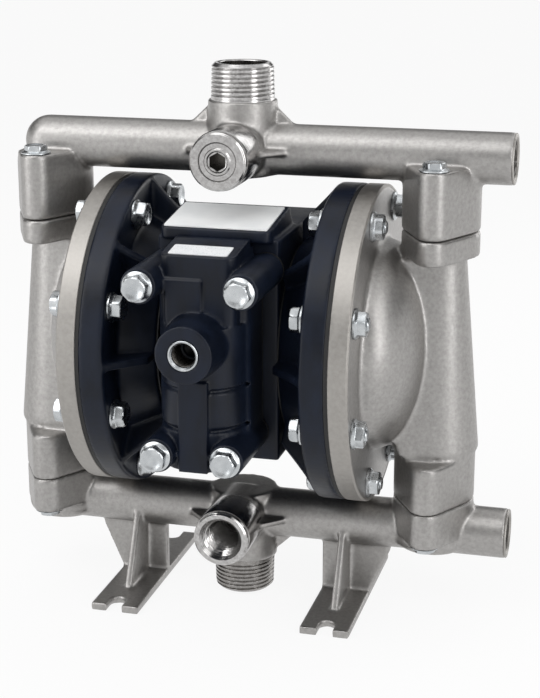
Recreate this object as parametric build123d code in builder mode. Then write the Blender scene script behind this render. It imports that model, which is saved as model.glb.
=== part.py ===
from build123d import *
import os
from math import cos, radians, sin, sqrt

# Air operated double diaphragm pump. Two stainless liquid ends stand either side of a moulded air
# motor, with an outlet manifold across the top and an inlet manifold on feet across the bottom.
# X runs along the diaphragm rod, Y goes to the back and Z up. The origin is on the floor under
# the centre ports. Sizes are millimetres.

# Main places
pipe_offset = 80.5
foot_drop = 36.4
column_x = 84.3
axis_z = foot_drop + pipe_offset
outlet_z = axis_z + pipe_offset
inlet_z = foot_drop
sides = ((-1, "left"), (1, "right"))

# Fits
seat_fit = 0.05
running_fit = 0.05
ball_gap = 0.1
bolt_clearance = 0.3
screw_clearance = 0.1
rod_clearance = 0.5
overlap = 1.0

# Diaphragm flanges
flange_r = 67.0
joint_x = 51.2
diaphragm_t = 1.6
air_rim_t = 10.2
liquid_rim_t = 8.1
rim_edge = 1.2
bolt_circle_r = flange_r - 8.0
clamp_r = bolt_circle_r - 9.0
bolt_count = 8
bolt_turn = 360 / bolt_count
flange_bolt_r = 3.0
rim_air_x = joint_x - diaphragm_t / 2
rim_liquid_x = joint_x + diaphragm_t / 2
air_back_x = rim_air_x - air_rim_t
liquid_front_x = rim_liquid_x + liquid_rim_t

# Manifold pipes and hubs
pipe_r = 10.65
pipe_bore_r = 7.6
outlet_end_x = 114.0
inlet_end_x = 117.0
end_bore_r = 8.3
end_bore_depth = 14.0
elbow_x = 86.1
hub_r = 14.5
hub_reach = 20.5
hub_back = 10.9
port_thread_r = 13.1
port_thread_length = 15.0
port_bore_r = 9.5
port_chamfer = 0.8
front_barrel_r = 12.2
front_barrel_y = 35.5
front_hub_r = 11.4
front_hub_y = 38.5
front_bore_r = 7.8
gusset_t = 2.8
gusset_reach = 22.5
gusset_drop = 2.7
gusset_sink = 0.4
fin_t = 2.6
fin_y = 21.0
plug_length = 19.5
plug_sink = 1.0
plug_edge = 0.8
plug_socket_r = 4.3
plug_socket_depth = 8.0

# Two-bolt joints between the manifolds and the liquid caps
outlet_joint_drop = 50.4
inlet_joint_drop = 65.7
outlet_leg_r = 16.2
inlet_leg_r = 17.2
boss_r = 6.8
bolt_y = 21.0
outlet_ear_t = 10.5
inlet_ear_t = 20.5
outlet_boss_gap = 2.6
inlet_boss_drop = 0.5
inlet_leg_drop = 8.2
inlet_leg_round = 5.0
leg_step = 0.4
spotface_gap = 0.4
leg_chamfer_x = 5.4
leg_chamfer_z = 7.0
joint_bolt_r = 3.0
outlet_joint_z = axis_z + outlet_joint_drop
inlet_joint_z = axis_z - inlet_joint_drop
outlet_boss_z = outlet_z - outlet_boss_gap
inlet_boss_z = inlet_z - inlet_boss_drop
ear_hole_depth = 17.0
joint_hex_half = 4.4
outlet_head_t = 3.6
inlet_head_t = 2.6
joint_cup_depth = 0.6

# Check valves
ball_r = 8.0
ball_lift = 5.0
seat_r = 11.0
seat_bore_r = 6.0
seat_t = 5.0
cage_r = 11.0
stop_r = 7.0
stop_t = 3.5
slot_r = 2.6
slot_count = 4
slot_pitch_r = 8.2
way_gap = 0.6
ball_sit = 4.3
stop_gap = 0.15
stop_rise = ball_sit + ball_lift + sqrt(ball_r**2 - stop_r**2) + stop_gap
ring_section = 1.8
ring_groove = 1.9

# Liquid caps
dome_rise = 22.5
dome_r = clamp_r - 5.5
cap_wall = 4.0
chamber_r = dome_r - 3.5
chamber_start = 6.0
column_top_r = 11.0
column_foot_r = 18.4
column_foot_gap = 1.7
passage_top_r = 8.0
passage_foot_r = 10.0
window_y = 6.0
window_z = chamber_r - 19.0
window_reach = 6.0
web_low_z = dome_r - 10.0
web_top_z = dome_r - 15.0
web_low_in = 5.0
web_foot_in = 2.0
column_foot_step = 3.0

# Feet
foot_inner_x = 36.0
foot_outer_x = 57.4
foot_half_length = 44.0
foot_t = 3.3
notch_w = 6.6
notch_depth = 9.0
web_t = 3.5
web_flare = 8.8
web_root = 2.0
rib_t = 3.2
rib_reach = 26.0
rib_sink = 0.2
foot_mid_x = (foot_inner_x + foot_outer_x) / 2

# Air caps and centre body
air_cone_r = clamp_r
air_neck_r = air_cone_r - 8.0
body_half_x = 25.4
gasket_t = 0.6
gasket_inset = 1.0
air_floor_x = 38.5
air_floor_r = air_neck_r - 12.0
air_wall = 3.0
rib_count = 8
air_rib_t = 3.2
air_rib_r = flange_r - 1.0
air_rib_foot_r = air_cone_r + 1.0
air_rib_bend_x = 0.32
air_rib_bend_r = 0.30
cap_inner_x = body_half_x + gasket_t
screw_circle_r = air_floor_r + 5.0
cap_screw_count = 4
cap_screw_r = 2.0
cap_screw_gap = 0.2
cap_screw_head_r = 3.4
cap_screw_head_t = 2.4
cap_screw_bite = 10.0
body_front_y = 38.0
body_back_y = 40.0
body_top = 50.0
body_bottom = 43.0
body_corner = 9.0
pad_half_x = 23.0
pad_front_y = 43.0
pad_back_y = 10.0
pad_front_top = 54.4
pad_slope = 0.13
pad_back_top = pad_front_top + pad_slope * (pad_front_y - pad_back_y)
pad_tail = 6.0
pad_sink = 0.6
pad_corner = 3.0
exhaust_drop = 8.0
exhaust_boss_r = 12.5
exhaust_boss_length = 7.0
exhaust_bore_r = 7.8
exhaust_depth = 16.0

# Diaphragms and rod
rod_r = 6.35
washer_t = 4.0
inner_washer_r = air_floor_r - 6.0
inner_washer_round = 1.5
outer_washer_r = inner_washer_r - 2.0
outer_washer_t = 5.0
outer_washer_round = 2.5
screw_r = 5.0
screw_head_r = 9.8
screw_head_t = 5.0
screw_depth = 18.0
screw_end_gap = 1.0
convolution = 3.0
wave_margin = 1.5
diaphragm_inset = 0.4
bushing_r = 9.0
bushing_back = 2.5
bushing_length = air_floor_x - cap_inner_x - bushing_back
seal_r = 9.4
seal_length = 4.0
rod_end_x = rim_air_x - washer_t

# Pilot rod
pilot_r = 3.0
pilot_y = 18.0
pilot_half_length = 36.5
pilot_edge = 0.6

# Air valve block
block_half_x = 15.2
block_front_y = 68.0
block_bottom = 37.5
block_top_front = 48.6
block_top_back = 51.4
block_slope_y = 47.0
shoulder_half_x = 18.8
shoulder_y = 60.0
shoulder_top = 44.0
shoulder_bottom = 34.0
shoulder_edge = 4.0
block_shelf = 2.0
block_pad_gap = 0.3
valve_gasket_t = 0.8
upper_bolt_x = body_half_x - 5.0
upper_bolt_z = 38.0
lower_bolt_x = 14.35
lower_bolt_z = -30.5
bolt_boss_y = 78.0
upper_boss_r = 7.2
lower_boss_r = 7.0
valve_bolt_r = 3.0
valve_bolt_bite = 12.0
air_inlet_z = 13.8
air_boss_y = 86.0
air_boss_r = 11.5
air_boss_root_r = 13.6
boss_root_y = 60.0
tower_r = 17.5
tower_top = 21.0
insert_r = 6.1
insert_bore_r = 5.0
insert_length = 12.0
insert_proud = 0.3
air_way_r = 3.5
rib_half_x = 6.0
rib_y = 75.0
groove_w = 1.7
groove_depth = 1.4
grooves = (-5.0, -21.5)
panel_low = 22.0
panel_high = 39.5
panel_left_x = 12.6
panel_right_x = 2.4
panel_t = 1.4
block_back_y = body_front_y + valve_gasket_t
inlet_axis_z = axis_z + air_inlet_z

# Main valve
valve_y = 56.5
sleeve_r = 9.0
sleeve_bore_r = 7.05
spool_r = 7.0
spool_neck_r = 4.5
spool_land = 9.0
spool_length = 60.0
spool_travel = 4.0
spool_gap = 1.0
spool_land_count = 3
spool_mid_z = 4.0
end_cap_r = 10.5
end_cap_t = 4.0

# Plates
nameplate_w = 43.0
nameplate_d = 29.3
nameplate_t = 0.5
nameplate_front_y = 42.0
label_w = 24.0
label_d = 10.2
label_t = 0.3
label_front_y = 66.0
plate_corner = 0.8

# Hex fasteners: half the width across flats, head height, flange radius and flange thickness
hex_half = 5.0
head_t = 4.0
head_flange_r = 6.3
head_flange_t = 1.4
nut_t = 5.0
bolt_end = 1.0
cup_r = 3.4
cup_depth = 1.6

os.makedirs("parts", exist_ok=True)


def save(piece, name):
    """Label a finished piece and write it to its own file."""
    piece.label = name
    export_step(piece, f"parts/{name}.step")


def radial_plane(angle):
    """Plane through the diaphragm axis: local X along the rod, local Y outwards at the angle."""
    turn = radians(angle)
    return Plane(
        origin=(0, 0, axis_z),
        x_dir=(1, 0, 0),
        z_dir=(0, -sin(turn), -cos(turn)),
    )


def across_plane(x):
    """Plane square to the rod at x, centred on the diaphragm axis: local X to the back."""
    return Plane(origin=(x, 0, axis_z), x_dir=(0, 1, 0), z_dir=(1, 0, 0))


def oval_flange(x, z, passage_r):
    """Two-bolt oval: the valve passage in the middle with a bolt boss in front and behind."""
    with BuildSketch(Plane.XY.offset(z)) as oval:
        with Locations((x, 0)):
            Circle(passage_r)
        with Locations((x, bolt_y), (x, -bolt_y)):
            Circle(boss_r)
        make_hull()
    return oval.sketch


def ball_stop(x, z):
    """Outline of the way past a raised ball: a round hole with four slots around it."""
    with BuildSketch(Plane.XY.offset(z)) as way:
        with Locations((x, 0)):
            Circle(stop_r)
            with PolarLocations(slot_pitch_r, slot_count, start_angle=180 / slot_count):
                Circle(slot_r)
    return way.sketch


def front_circle(x, z, radius, y):
    """Circle on a plane that faces the front at -y, with its centre at x and height z."""
    with BuildSketch(Plane.XZ.offset(y)) as disc:
        with Locations((x, z)):
            Circle(radius)
    return disc.sketch


def side_circle(x, y, z, radius):
    """Circle square to the rod at x, with its centre at y and height z."""
    with BuildSketch(Plane.YZ.offset(x)) as disc:
        with Locations((y, z)):
            Circle(radius)
    return disc.sketch


def flat_circle(x, y, z, radius):
    """Level circle at height z."""
    with BuildSketch(Plane.XY.offset(z)) as disc:
        with Locations((x, y)):
            Circle(radius)
    return disc.sketch


def hex_head(plane, height, half, cup):
    """Flanged hexagon head with a shallow cup in its end, standing on a plane."""
    with BuildPart() as head:
        with BuildSketch(plane):
            Circle(head_flange_r)
        extrude(amount=head_flange_t)
        with BuildSketch(plane):
            RegularPolygon(half, 6, major_radius=False)
        extrude(amount=height)
        with BuildSketch(plane.offset(height)):
            Circle(cup_r)
        extrude(amount=-cup, mode=Mode.SUBTRACT)
    return head.part


def port_thread(z, toward):
    """Male port thread, kept as its outside diameter, with a chamfered end away from the hub."""
    with BuildPart() as thread:
        with BuildSketch(Plane(origin=(0, 0, z), x_dir=(1, 0, 0), z_dir=(0, 0, toward))):
            Circle(port_thread_r)
        extrude(amount=port_thread_length)
        far_end = thread.faces().filter_by(Plane.XY).sort_by(Axis.Z)[-1 if toward > 0 else 0]
        chamfer(far_end.edges(), port_chamfer)
    return thread.part


# Outlet manifold: pipe with a rounded elbow at the left, two valve legs and the centre hub
with BuildPart() as outlet_manifold:
    for side, name in sides:
        leg_x = side * column_x
        extrude(oval_flange(leg_x, outlet_joint_z, outlet_leg_r), amount=outlet_boss_z - outlet_joint_z)
        outer_x = leg_x + side * (outlet_leg_r + overlap)
        with BuildSketch(Plane.XZ):
            with BuildLine():
                Polyline(
                    (outer_x, outlet_boss_z + overlap),
                    (leg_x + side * (outlet_leg_r - leg_chamfer_x), outlet_boss_z + overlap),
                    (leg_x + side * (outlet_leg_r - leg_chamfer_x), outlet_boss_z),
                    (leg_x + side * outlet_leg_r, outlet_boss_z - leg_chamfer_z),
                    (outer_x, outlet_boss_z - leg_chamfer_z),
                    close=True,
                )
            make_face()
        extrude(amount=outlet_leg_r, both=True, mode=Mode.SUBTRACT)
    extrude(side_circle(-elbow_x, 0, outlet_z, pipe_r), amount=elbow_x + outlet_end_x)
    with Locations((-elbow_x, 0, outlet_z)):
        Sphere(pipe_r)
    extrude(flat_circle(-column_x, 0, outlet_boss_z - leg_chamfer_z, pipe_r), amount=leg_chamfer_z)
    # centre hub with its gussets, then the front port barrel with its fins
    extrude(flat_circle(0, 0, outlet_z - hub_back, hub_r), amount=hub_back + hub_reach)
    extrude(front_circle(0, outlet_z, front_barrel_r, 0), amount=front_barrel_y)
    extrude(front_circle(0, outlet_z, front_hub_r, 0), amount=front_hub_y)
    for side, name in sides:
        with BuildSketch(Plane.XZ):
            with BuildLine():
                Polyline(
                    (0, outlet_z),
                    (0, outlet_z + hub_reach - gusset_drop),
                    (side * hub_r, outlet_z + hub_reach - gusset_drop),
                    (side * gusset_reach, outlet_z + pipe_r - gusset_sink),
                    (side * gusset_reach, outlet_z),
                    close=True,
                )
            make_face()
        extrude(amount=gusset_t / 2, both=True)
        with BuildSketch(Plane.XY.offset(outlet_z)):
            with BuildLine():
                Polyline(
                    (0, 0),
                    (0, -fin_y),
                    (side * front_barrel_r, -fin_y),
                    (side * gusset_reach, -pipe_r + gusset_sink),
                    (side * gusset_reach, 0),
                    close=True,
                )
            make_face()
        extrude(amount=fin_t / 2, both=True)
    add(port_thread(outlet_z + hub_reach, 1))
    # ways inside
    extrude(
        side_circle(-elbow_x, 0, outlet_z, pipe_bore_r),
        amount=elbow_x + outlet_end_x,
        mode=Mode.SUBTRACT,
    )
    extrude(
        side_circle(outlet_end_x, 0, outlet_z, end_bore_r),
        amount=-end_bore_depth,
        mode=Mode.SUBTRACT,
    )
    extrude(
        flat_circle(0, 0, outlet_z, port_bore_r),
        amount=hub_reach + port_thread_length,
        mode=Mode.SUBTRACT,
    )
    extrude(front_circle(0, outlet_z, front_bore_r, 0), amount=front_hub_y, mode=Mode.SUBTRACT)
    for side, name in sides:
        leg_x = side * column_x
        stop_z = outlet_joint_z + stop_rise
        extrude(
            flat_circle(leg_x, 0, outlet_joint_z, cage_r),
            amount=stop_rise,
            mode=Mode.SUBTRACT,
        )
        extrude(ball_stop(leg_x, stop_z), amount=stop_t, mode=Mode.SUBTRACT)
        extrude(
            flat_circle(leg_x, 0, stop_z + stop_t, pipe_r - way_gap),
            amount=outlet_z - pipe_bore_r - stop_z - stop_t + overlap,
            mode=Mode.SUBTRACT,
        )
        for y in (-bolt_y, bolt_y):
            extrude(
                flat_circle(leg_x, y, outlet_joint_z, joint_bolt_r + bolt_clearance),
                amount=outlet_boss_z - outlet_joint_z,
                mode=Mode.SUBTRACT,
            )
save(outlet_manifold.part, "outlet_manifold")

# Inlet manifold: the same run of pipe, with feet below and the male port pointing down
with BuildPart() as inlet_manifold:
    extrude(side_circle(-column_x, 0, inlet_z, pipe_r), amount=column_x + inlet_end_x)
    for side, name in sides:
        leg_x = side * column_x
        extrude(oval_flange(leg_x, inlet_joint_z, inlet_leg_r), amount=inlet_boss_z - inlet_joint_z)
        with BuildPart(mode=Mode.PRIVATE) as leg:
            extrude(
                flat_circle(leg_x, 0, inlet_z - inlet_leg_drop, inlet_leg_r - leg_step),
                amount=inlet_boss_z - inlet_z + inlet_leg_drop + overlap,
            )
            fillet(leg.edges().filter_by(GeomType.CIRCLE).sort_by(Axis.Z)[0], inlet_leg_round)
        add(leg.part)
    extrude(flat_circle(0, 0, inlet_z + hub_back, hub_r), amount=-hub_back - hub_reach)
    extrude(front_circle(0, inlet_z, front_barrel_r, 0), amount=front_barrel_y)
    extrude(front_circle(0, inlet_z, front_hub_r, 0), amount=front_hub_y)
    for side, name in sides:
        with BuildSketch(Plane.XZ):
            with BuildLine():
                Polyline(
                    (0, inlet_z),
                    (0, inlet_z - hub_reach + gusset_drop),
                    (side * hub_r, inlet_z - hub_reach + gusset_drop),
                    (side * gusset_reach, inlet_z - pipe_r + gusset_sink),
                    (side * gusset_reach, inlet_z),
                    close=True,
                )
            make_face()
        extrude(amount=gusset_t / 2, both=True)
        with BuildSketch(Plane.XY.offset(inlet_z)):
            with BuildLine():
                Polyline(
                    (0, 0),
                    (0, -fin_y),
                    (side * front_barrel_r, -fin_y),
                    (side * gusset_reach, -pipe_r + gusset_sink),
                    (side * gusset_reach, 0),
                    close=True,
                )
            make_face()
        extrude(amount=fin_t / 2, both=True)
        # foot: notched plate on the floor, a flared web along the pipe and a rib across it
        foot_x = side * foot_mid_x
        with BuildSketch():
            with Locations((foot_x, 0)):
                Rectangle(foot_outer_x - foot_inner_x, 2 * foot_half_length)
            for end in (-1, 1):
                notch_y = end * (foot_half_length - notch_depth + notch_w / 2)
                with Locations((foot_x, notch_y)):
                    Circle(notch_w / 2, mode=Mode.SUBTRACT)
                with Locations((foot_x, end * (foot_half_length + notch_y * end) / 2)):
                    Rectangle(notch_w, foot_half_length - notch_y * end, mode=Mode.SUBTRACT)
        extrude(amount=foot_t)
        with BuildSketch(Plane.XZ):
            with BuildLine():
                Polyline(
                    (side * foot_inner_x, foot_t / 2),
                    (side * foot_outer_x, foot_t / 2),
                    (side * foot_outer_x, foot_t),
                    (side * (foot_outer_x + web_flare), inlet_z - pipe_r - web_root),
                    (side * (foot_outer_x + web_flare), inlet_z - pipe_r + web_root),
                    (side * foot_inner_x, inlet_z - pipe_r + web_root),
                    close=True,
                )
            make_face()
        extrude(amount=web_t / 2, both=True)
        with BuildSketch(Plane.YZ.offset(foot_x)):
            with BuildLine():
                Polyline(
                    (-rib_reach, foot_t / 2),
                    (-rib_reach, foot_t),
                    (-pipe_r + rib_sink, inlet_z - overlap),
                    (pipe_r - rib_sink, inlet_z - overlap),
                    (rib_reach, foot_t),
                    (rib_reach, foot_t / 2),
                    close=True,
                )
            make_face()
        extrude(amount=rib_t / 2, both=True)
    add(port_thread(inlet_z - hub_reach, -1))
    # ways inside
    extrude(
        side_circle(-column_x, 0, inlet_z, pipe_bore_r),
        amount=column_x + inlet_end_x,
        mode=Mode.SUBTRACT,
    )
    extrude(
        side_circle(inlet_end_x, 0, inlet_z, end_bore_r),
        amount=-end_bore_depth,
        mode=Mode.SUBTRACT,
    )
    extrude(
        flat_circle(0, 0, inlet_z, port_bore_r),
        amount=-hub_reach - port_thread_length,
        mode=Mode.SUBTRACT,
    )
    extrude(front_circle(0, inlet_z, front_bore_r, 0), amount=front_hub_y, mode=Mode.SUBTRACT)
    for side, name in sides:
        leg_x = side * column_x
        extrude(
            flat_circle(leg_x, 0, inlet_joint_z, seat_r + seat_fit),
            amount=-seat_t,
            mode=Mode.SUBTRACT,
        )
        extrude(
            flat_circle(leg_x, 0, inlet_z, pipe_bore_r),
            amount=inlet_joint_z - inlet_z,
            mode=Mode.SUBTRACT,
        )
        for y in (-bolt_y, bolt_y):
            extrude(
                flat_circle(leg_x, y, inlet_boss_z, head_flange_r + spotface_gap),
                amount=-inlet_leg_drop,
                mode=Mode.SUBTRACT,
            )
            extrude(
                flat_circle(leg_x, y, inlet_joint_z, joint_bolt_r + bolt_clearance),
                amount=inlet_boss_z - inlet_joint_z,
                mode=Mode.SUBTRACT,
            )
save(inlet_manifold.part, "inlet_manifold")

# Socket plug in the top front port
with BuildPart() as outlet_port_plug:
    extrude(
        front_circle(0, outlet_z, front_bore_r - seat_fit, front_hub_y - plug_sink),
        amount=-plug_length,
    )
    plug_end = outlet_port_plug.faces().sort_by(Axis.Y)[0]
    chamfer(plug_end.edges(), plug_edge)
    with BuildSketch(Plane(plug_end.center(), x_dir=(1, 0, 0), z_dir=(0, -1, 0))):
        RegularPolygon(plug_socket_r, 6)
    extrude(amount=-plug_socket_depth, mode=Mode.SUBTRACT)
save(outlet_port_plug.part, "outlet_port_plug")

# Liquid caps: flange rim and dome turned about the rod, a flared valve column standing against
# the dome, and an ear at each end of the column for the manifolds
for side, name in sides:
    leg_x = side * column_x
    top_z = outlet_joint_z - outlet_ear_t
    foot_z = inlet_joint_z + inlet_ear_t + column_foot_gap
    with BuildPart() as fluid_cap:
        with BuildSketch(Plane.XZ):
            with BuildLine():
                rim_inner = Line((side * rim_liquid_x, axis_z), (side * rim_liquid_x, axis_z + flange_r))
                rim_outer = Line(rim_inner @ 1, (side * liquid_front_x, axis_z + flange_r))
                rim_front = Line(rim_outer @ 1, (side * liquid_front_x, axis_z + dome_r))
                dome = EllipticalCenterArc(
                    (side * liquid_front_x, axis_z),
                    dome_rise,
                    dome_r,
                    start_angle=90 if side < 0 else 0,
                    arc_size=90,
                )
                Line((side * (liquid_front_x + dome_rise), axis_z), rim_inner @ 0)
            make_face()
        revolve(axis=Axis((0, 0, axis_z), (1, 0, 0)))
        rim_edges = fluid_cap.edges().filter_by(GeomType.CIRCLE).filter_by(
            lambda edge: abs(edge.radius - flange_r) < 0.01
        )
        fillet(rim_edges.sort_by(Axis.X)[-1 if side > 0 else 0], rim_edge)
        # column and the web that joins it to the dome
        with BuildSketch(Plane.XY.offset(foot_z)):
            with Locations((leg_x, 0)):
                Circle(column_foot_r)
        with BuildSketch(Plane.XY.offset(top_z)):
            with Locations((leg_x, 0)):
                Circle(column_top_r)
        loft()
        web_inner = side * (liquid_front_x - liquid_rim_t / 2)
        web_mid = (web_inner + leg_x) / 2
        web_long = abs(leg_x - web_inner)
        with BuildPart(mode=Mode.PRIVATE) as web:
            with BuildSketch(Plane.XY.offset(foot_z)):
                with Locations((web_mid, 0)):
                    Rectangle(web_long, 2 * column_foot_r)
            with BuildSketch(Plane.XY.offset(top_z)):
                with Locations((web_mid, 0)):
                    Rectangle(web_long, 2 * column_top_r)
            loft()
            with BuildSketch(Plane.XZ):
                with BuildLine():
                    Polyline(
                        (web_inner, axis_z + web_top_z),
                        (leg_x - side * (column_top_r + overlap), top_z),
                        (leg_x, top_z),
                        (leg_x, foot_z),
                        (leg_x - side * (column_top_r + web_foot_in), foot_z),
                        (leg_x - side * (column_top_r + web_low_in), axis_z - web_low_z),
                        (web_inner, axis_z - web_low_z),
                        close=True,
                    )
                make_face()
            extrude(amount=column_foot_r + overlap, both=True, mode=Mode.INTERSECT)
        add(web.part)
        # ears
        extrude(oval_flange(leg_x, outlet_joint_z, outlet_leg_r), amount=-outlet_ear_t)
        extrude(oval_flange(leg_x, inlet_joint_z, inlet_leg_r), amount=inlet_ear_t)
        extrude(
            flat_circle(leg_x, 0, inlet_joint_z + inlet_ear_t, column_foot_r - column_foot_step),
            amount=column_foot_gap + overlap,
        )
        # diaphragm chamber, passage and valve pockets
        with BuildSketch(Plane.XZ):
            with BuildLine():
                chamber_x = rim_liquid_x + chamber_start
                chamber_rise = liquid_front_x + dome_rise - cap_wall - chamber_x
                floor = Line((side * rim_liquid_x, axis_z), (side * rim_liquid_x, axis_z + clamp_r))
                slope = Line(floor @ 1, (side * chamber_x, axis_z + chamber_r))
                EllipticalCenterArc(
                    (side * chamber_x, axis_z),
                    chamber_rise,
                    chamber_r,
                    start_angle=90 if side < 0 else 0,
                    arc_size=90,
                )
                Line((side * (chamber_x + chamber_rise), axis_z), floor @ 0)
            make_face()
        revolve(axis=Axis((0, 0, axis_z), (1, 0, 0)), mode=Mode.SUBTRACT)
        stop_z = inlet_joint_z + stop_rise
        with BuildSketch(Plane.XY.offset(stop_z + stop_t)):
            with Locations((leg_x, 0)):
                Circle(passage_foot_r)
        with BuildSketch(Plane.XY.offset(outlet_joint_z - seat_t)):
            with Locations((leg_x, 0)):
                Circle(passage_top_r)
        loft(mode=Mode.SUBTRACT)
        extrude(
            flat_circle(leg_x, 0, outlet_joint_z, seat_r + seat_fit),
            amount=-seat_t,
            mode=Mode.SUBTRACT,
        )
        extrude(flat_circle(leg_x, 0, inlet_joint_z, cage_r), amount=stop_rise, mode=Mode.SUBTRACT)
        extrude(ball_stop(leg_x, stop_z), amount=stop_t, mode=Mode.SUBTRACT)
        window_x = side * (liquid_front_x + dome_rise - cap_wall)
        with BuildSketch(Plane.XY.offset(axis_z - window_z)):
            with Locations(((window_x - side * window_reach + leg_x) / 2, 0)):
                Rectangle(abs(leg_x - window_x + side * window_reach), 2 * window_y)
        extrude(amount=2 * window_z, mode=Mode.SUBTRACT)
        # bolt holes
        for y in (-bolt_y, bolt_y):
            extrude(
                flat_circle(leg_x, y, outlet_joint_z, joint_bolt_r),
                amount=-outlet_ear_t,
                mode=Mode.SUBTRACT,
            )
            extrude(
                flat_circle(leg_x, y, inlet_joint_z, joint_bolt_r),
                amount=ear_hole_depth,
                mode=Mode.SUBTRACT,
            )
        with BuildSketch(across_plane(side * rim_liquid_x)):
            with PolarLocations(bolt_circle_r, bolt_count, start_angle=bolt_turn / 2):
                Circle(flange_bolt_r + bolt_clearance)
        extrude(amount=side * (liquid_rim_t + overlap), mode=Mode.SUBTRACT)
    save(fluid_cap.part, f"fluid_cap_{name}")

# Check valves: a seat under each ball, with a ring sealing it at the joint face
for level, seat_top in (("outlet", outlet_joint_z), ("inlet", inlet_joint_z)):
    for side, name in sides:
        leg_x = side * column_x
        with BuildPart() as ball:
            with Locations((leg_x, 0, seat_top + ball_sit)):
                Sphere(ball_r)
        save(ball.part, f"{level}_ball_{name}")
        with BuildPart() as seat:
            extrude(flat_circle(leg_x, 0, seat_top, seat_r), amount=-seat_t)
            extrude(
                flat_circle(leg_x, 0, seat_top, seat_bore_r),
                amount=-seat_t,
                mode=Mode.SUBTRACT,
            )
            with Locations((leg_x, 0, seat_top + ball_sit)):
                Sphere(ball_r + ball_gap, mode=Mode.SUBTRACT)
            # groove for the seat ring
            extrude(
                flat_circle(leg_x, 0, seat_top - seat_t, seat_r),
                amount=ring_groove,
                mode=Mode.SUBTRACT,
            )
            extrude(
                flat_circle(leg_x, 0, seat_top - seat_t, seat_r - ring_groove),
                amount=ring_groove,
            )
            extrude(
                flat_circle(leg_x, 0, seat_top - seat_t, seat_bore_r),
                amount=ring_groove,
                mode=Mode.SUBTRACT,
            )
        save(seat.part, f"{level}_seat_{name}")
    with BuildPart() as seat_rings:
        for side, name in sides:
            ring_low = seat_top - seat_t
            ring_inner = seat_r - ring_section
            extrude(flat_circle(side * column_x, 0, ring_low, seat_r), amount=ring_section)
            extrude(
                flat_circle(side * column_x, 0, ring_low, ring_inner),
                amount=ring_section,
                mode=Mode.SUBTRACT,
            )
    save(seat_rings.part, f"{level}_seat_rings")

# Bolts that clamp the manifolds to the caps
with BuildPart() as outlet_manifold_bolts:
    for side, name in sides:
        for y in (-bolt_y, bolt_y):
            top = Plane(origin=(side * column_x, y, outlet_boss_z), z_dir=(0, 0, 1))
            add(hex_head(top, outlet_head_t, joint_hex_half, joint_cup_depth))
            extrude(
                flat_circle(side * column_x, y, outlet_boss_z, joint_bolt_r - seat_fit),
                amount=outlet_joint_z - outlet_ear_t - outlet_boss_z + bolt_end,
            )
save(outlet_manifold_bolts.part, "outlet_manifold_bolts")

with BuildPart() as inlet_manifold_bolts:
    for side, name in sides:
        for y in (-bolt_y, bolt_y):
            under = Plane(origin=(side * column_x, y, inlet_boss_z), z_dir=(0, 0, -1))
            add(hex_head(under, inlet_head_t, joint_hex_half, joint_cup_depth))
            extrude(
                flat_circle(side * column_x, y, inlet_boss_z, joint_bolt_r - seat_fit),
                amount=inlet_joint_z + ear_hole_depth - bolt_end - inlet_boss_z,
            )
save(inlet_manifold_bolts.part, "inlet_manifold_bolts")

# Diaphragms: flat where they are clamped, with one rolled wave between
for side, name in sides:
    wave_in = inner_washer_r + wave_margin
    wave_out = clamp_r - wave_margin
    wave_mid = (wave_in + wave_out) / 2
    with BuildPart() as diaphragm:
        with BuildSketch(Plane.XZ):
            with BuildLine():
                air_x = side * rim_air_x
                liquid_x = side * rim_liquid_x
                hole_z = axis_z + screw_r + screw_clearance
                hole = Line((air_x, hole_z), (liquid_x, hole_z))
                flat_in = Line(hole @ 1, (liquid_x, axis_z + wave_in))
                wave = ThreePointArc(
                    flat_in @ 1,
                    (liquid_x + side * convolution, axis_z + wave_mid),
                    (liquid_x, axis_z + wave_out),
                )
                flat_out = Line(wave @ 1, (liquid_x, axis_z + flange_r - diaphragm_inset))
                edge = Line(flat_out @ 1, (air_x, axis_z + flange_r - diaphragm_inset))
                back_out = Line(edge @ 1, (air_x, axis_z + wave_out))
                back_wave = ThreePointArc(
                    back_out @ 1,
                    (air_x + side * convolution, axis_z + wave_mid),
                    (air_x, axis_z + wave_in),
                )
                Line(back_wave @ 1, hole @ 0)
            make_face()
        revolve(axis=Axis((0, 0, axis_z), (1, 0, 0)))
        with BuildSketch(across_plane(side * rim_air_x)):
            with PolarLocations(bolt_circle_r, bolt_count, start_angle=bolt_turn / 2):
                Circle(flange_bolt_r + bolt_clearance)
        extrude(amount=side * diaphragm_t, mode=Mode.SUBTRACT)
    save(diaphragm.part, f"diaphragm_{name}")

    # washers that hold the middle of the diaphragm, and the screw into the rod
    with BuildPart() as inner_washer:
        extrude(side_circle(side * rod_end_x, 0, axis_z, inner_washer_r), amount=side * washer_t)
        fillet(inner_washer.edges().sort_by(Axis.X)[0 if side > 0 else -1], inner_washer_round)
        extrude(
            side_circle(side * rod_end_x, 0, axis_z, screw_r + screw_clearance),
            amount=side * washer_t,
            mode=Mode.SUBTRACT,
        )
    save(inner_washer.part, f"inner_washer_{name}")
    with BuildPart() as outer_washer:
        extrude(
            side_circle(side * rim_liquid_x, 0, axis_z, outer_washer_r),
            amount=side * outer_washer_t,
        )
        fillet(outer_washer.edges().sort_by(Axis.X)[-1 if side > 0 else 0], outer_washer_round)
        extrude(
            side_circle(side * rim_liquid_x, 0, axis_z, screw_r + screw_clearance),
            amount=side * outer_washer_t,
            mode=Mode.SUBTRACT,
        )
    save(outer_washer.part, f"outer_washer_{name}")
    head_x = rim_liquid_x + outer_washer_t
    with BuildPart() as diaphragm_screw:
        with BuildSketch(across_plane(side * head_x)):
            RegularPolygon(screw_head_r, 6)
        extrude(amount=side * screw_head_t)
        extrude(
            side_circle(side * head_x, 0, axis_z, screw_r),
            amount=-side * (head_x - rod_end_x + screw_depth - screw_end_gap),
        )
    save(diaphragm_screw.part, f"diaphragm_screw_{name}")

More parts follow.
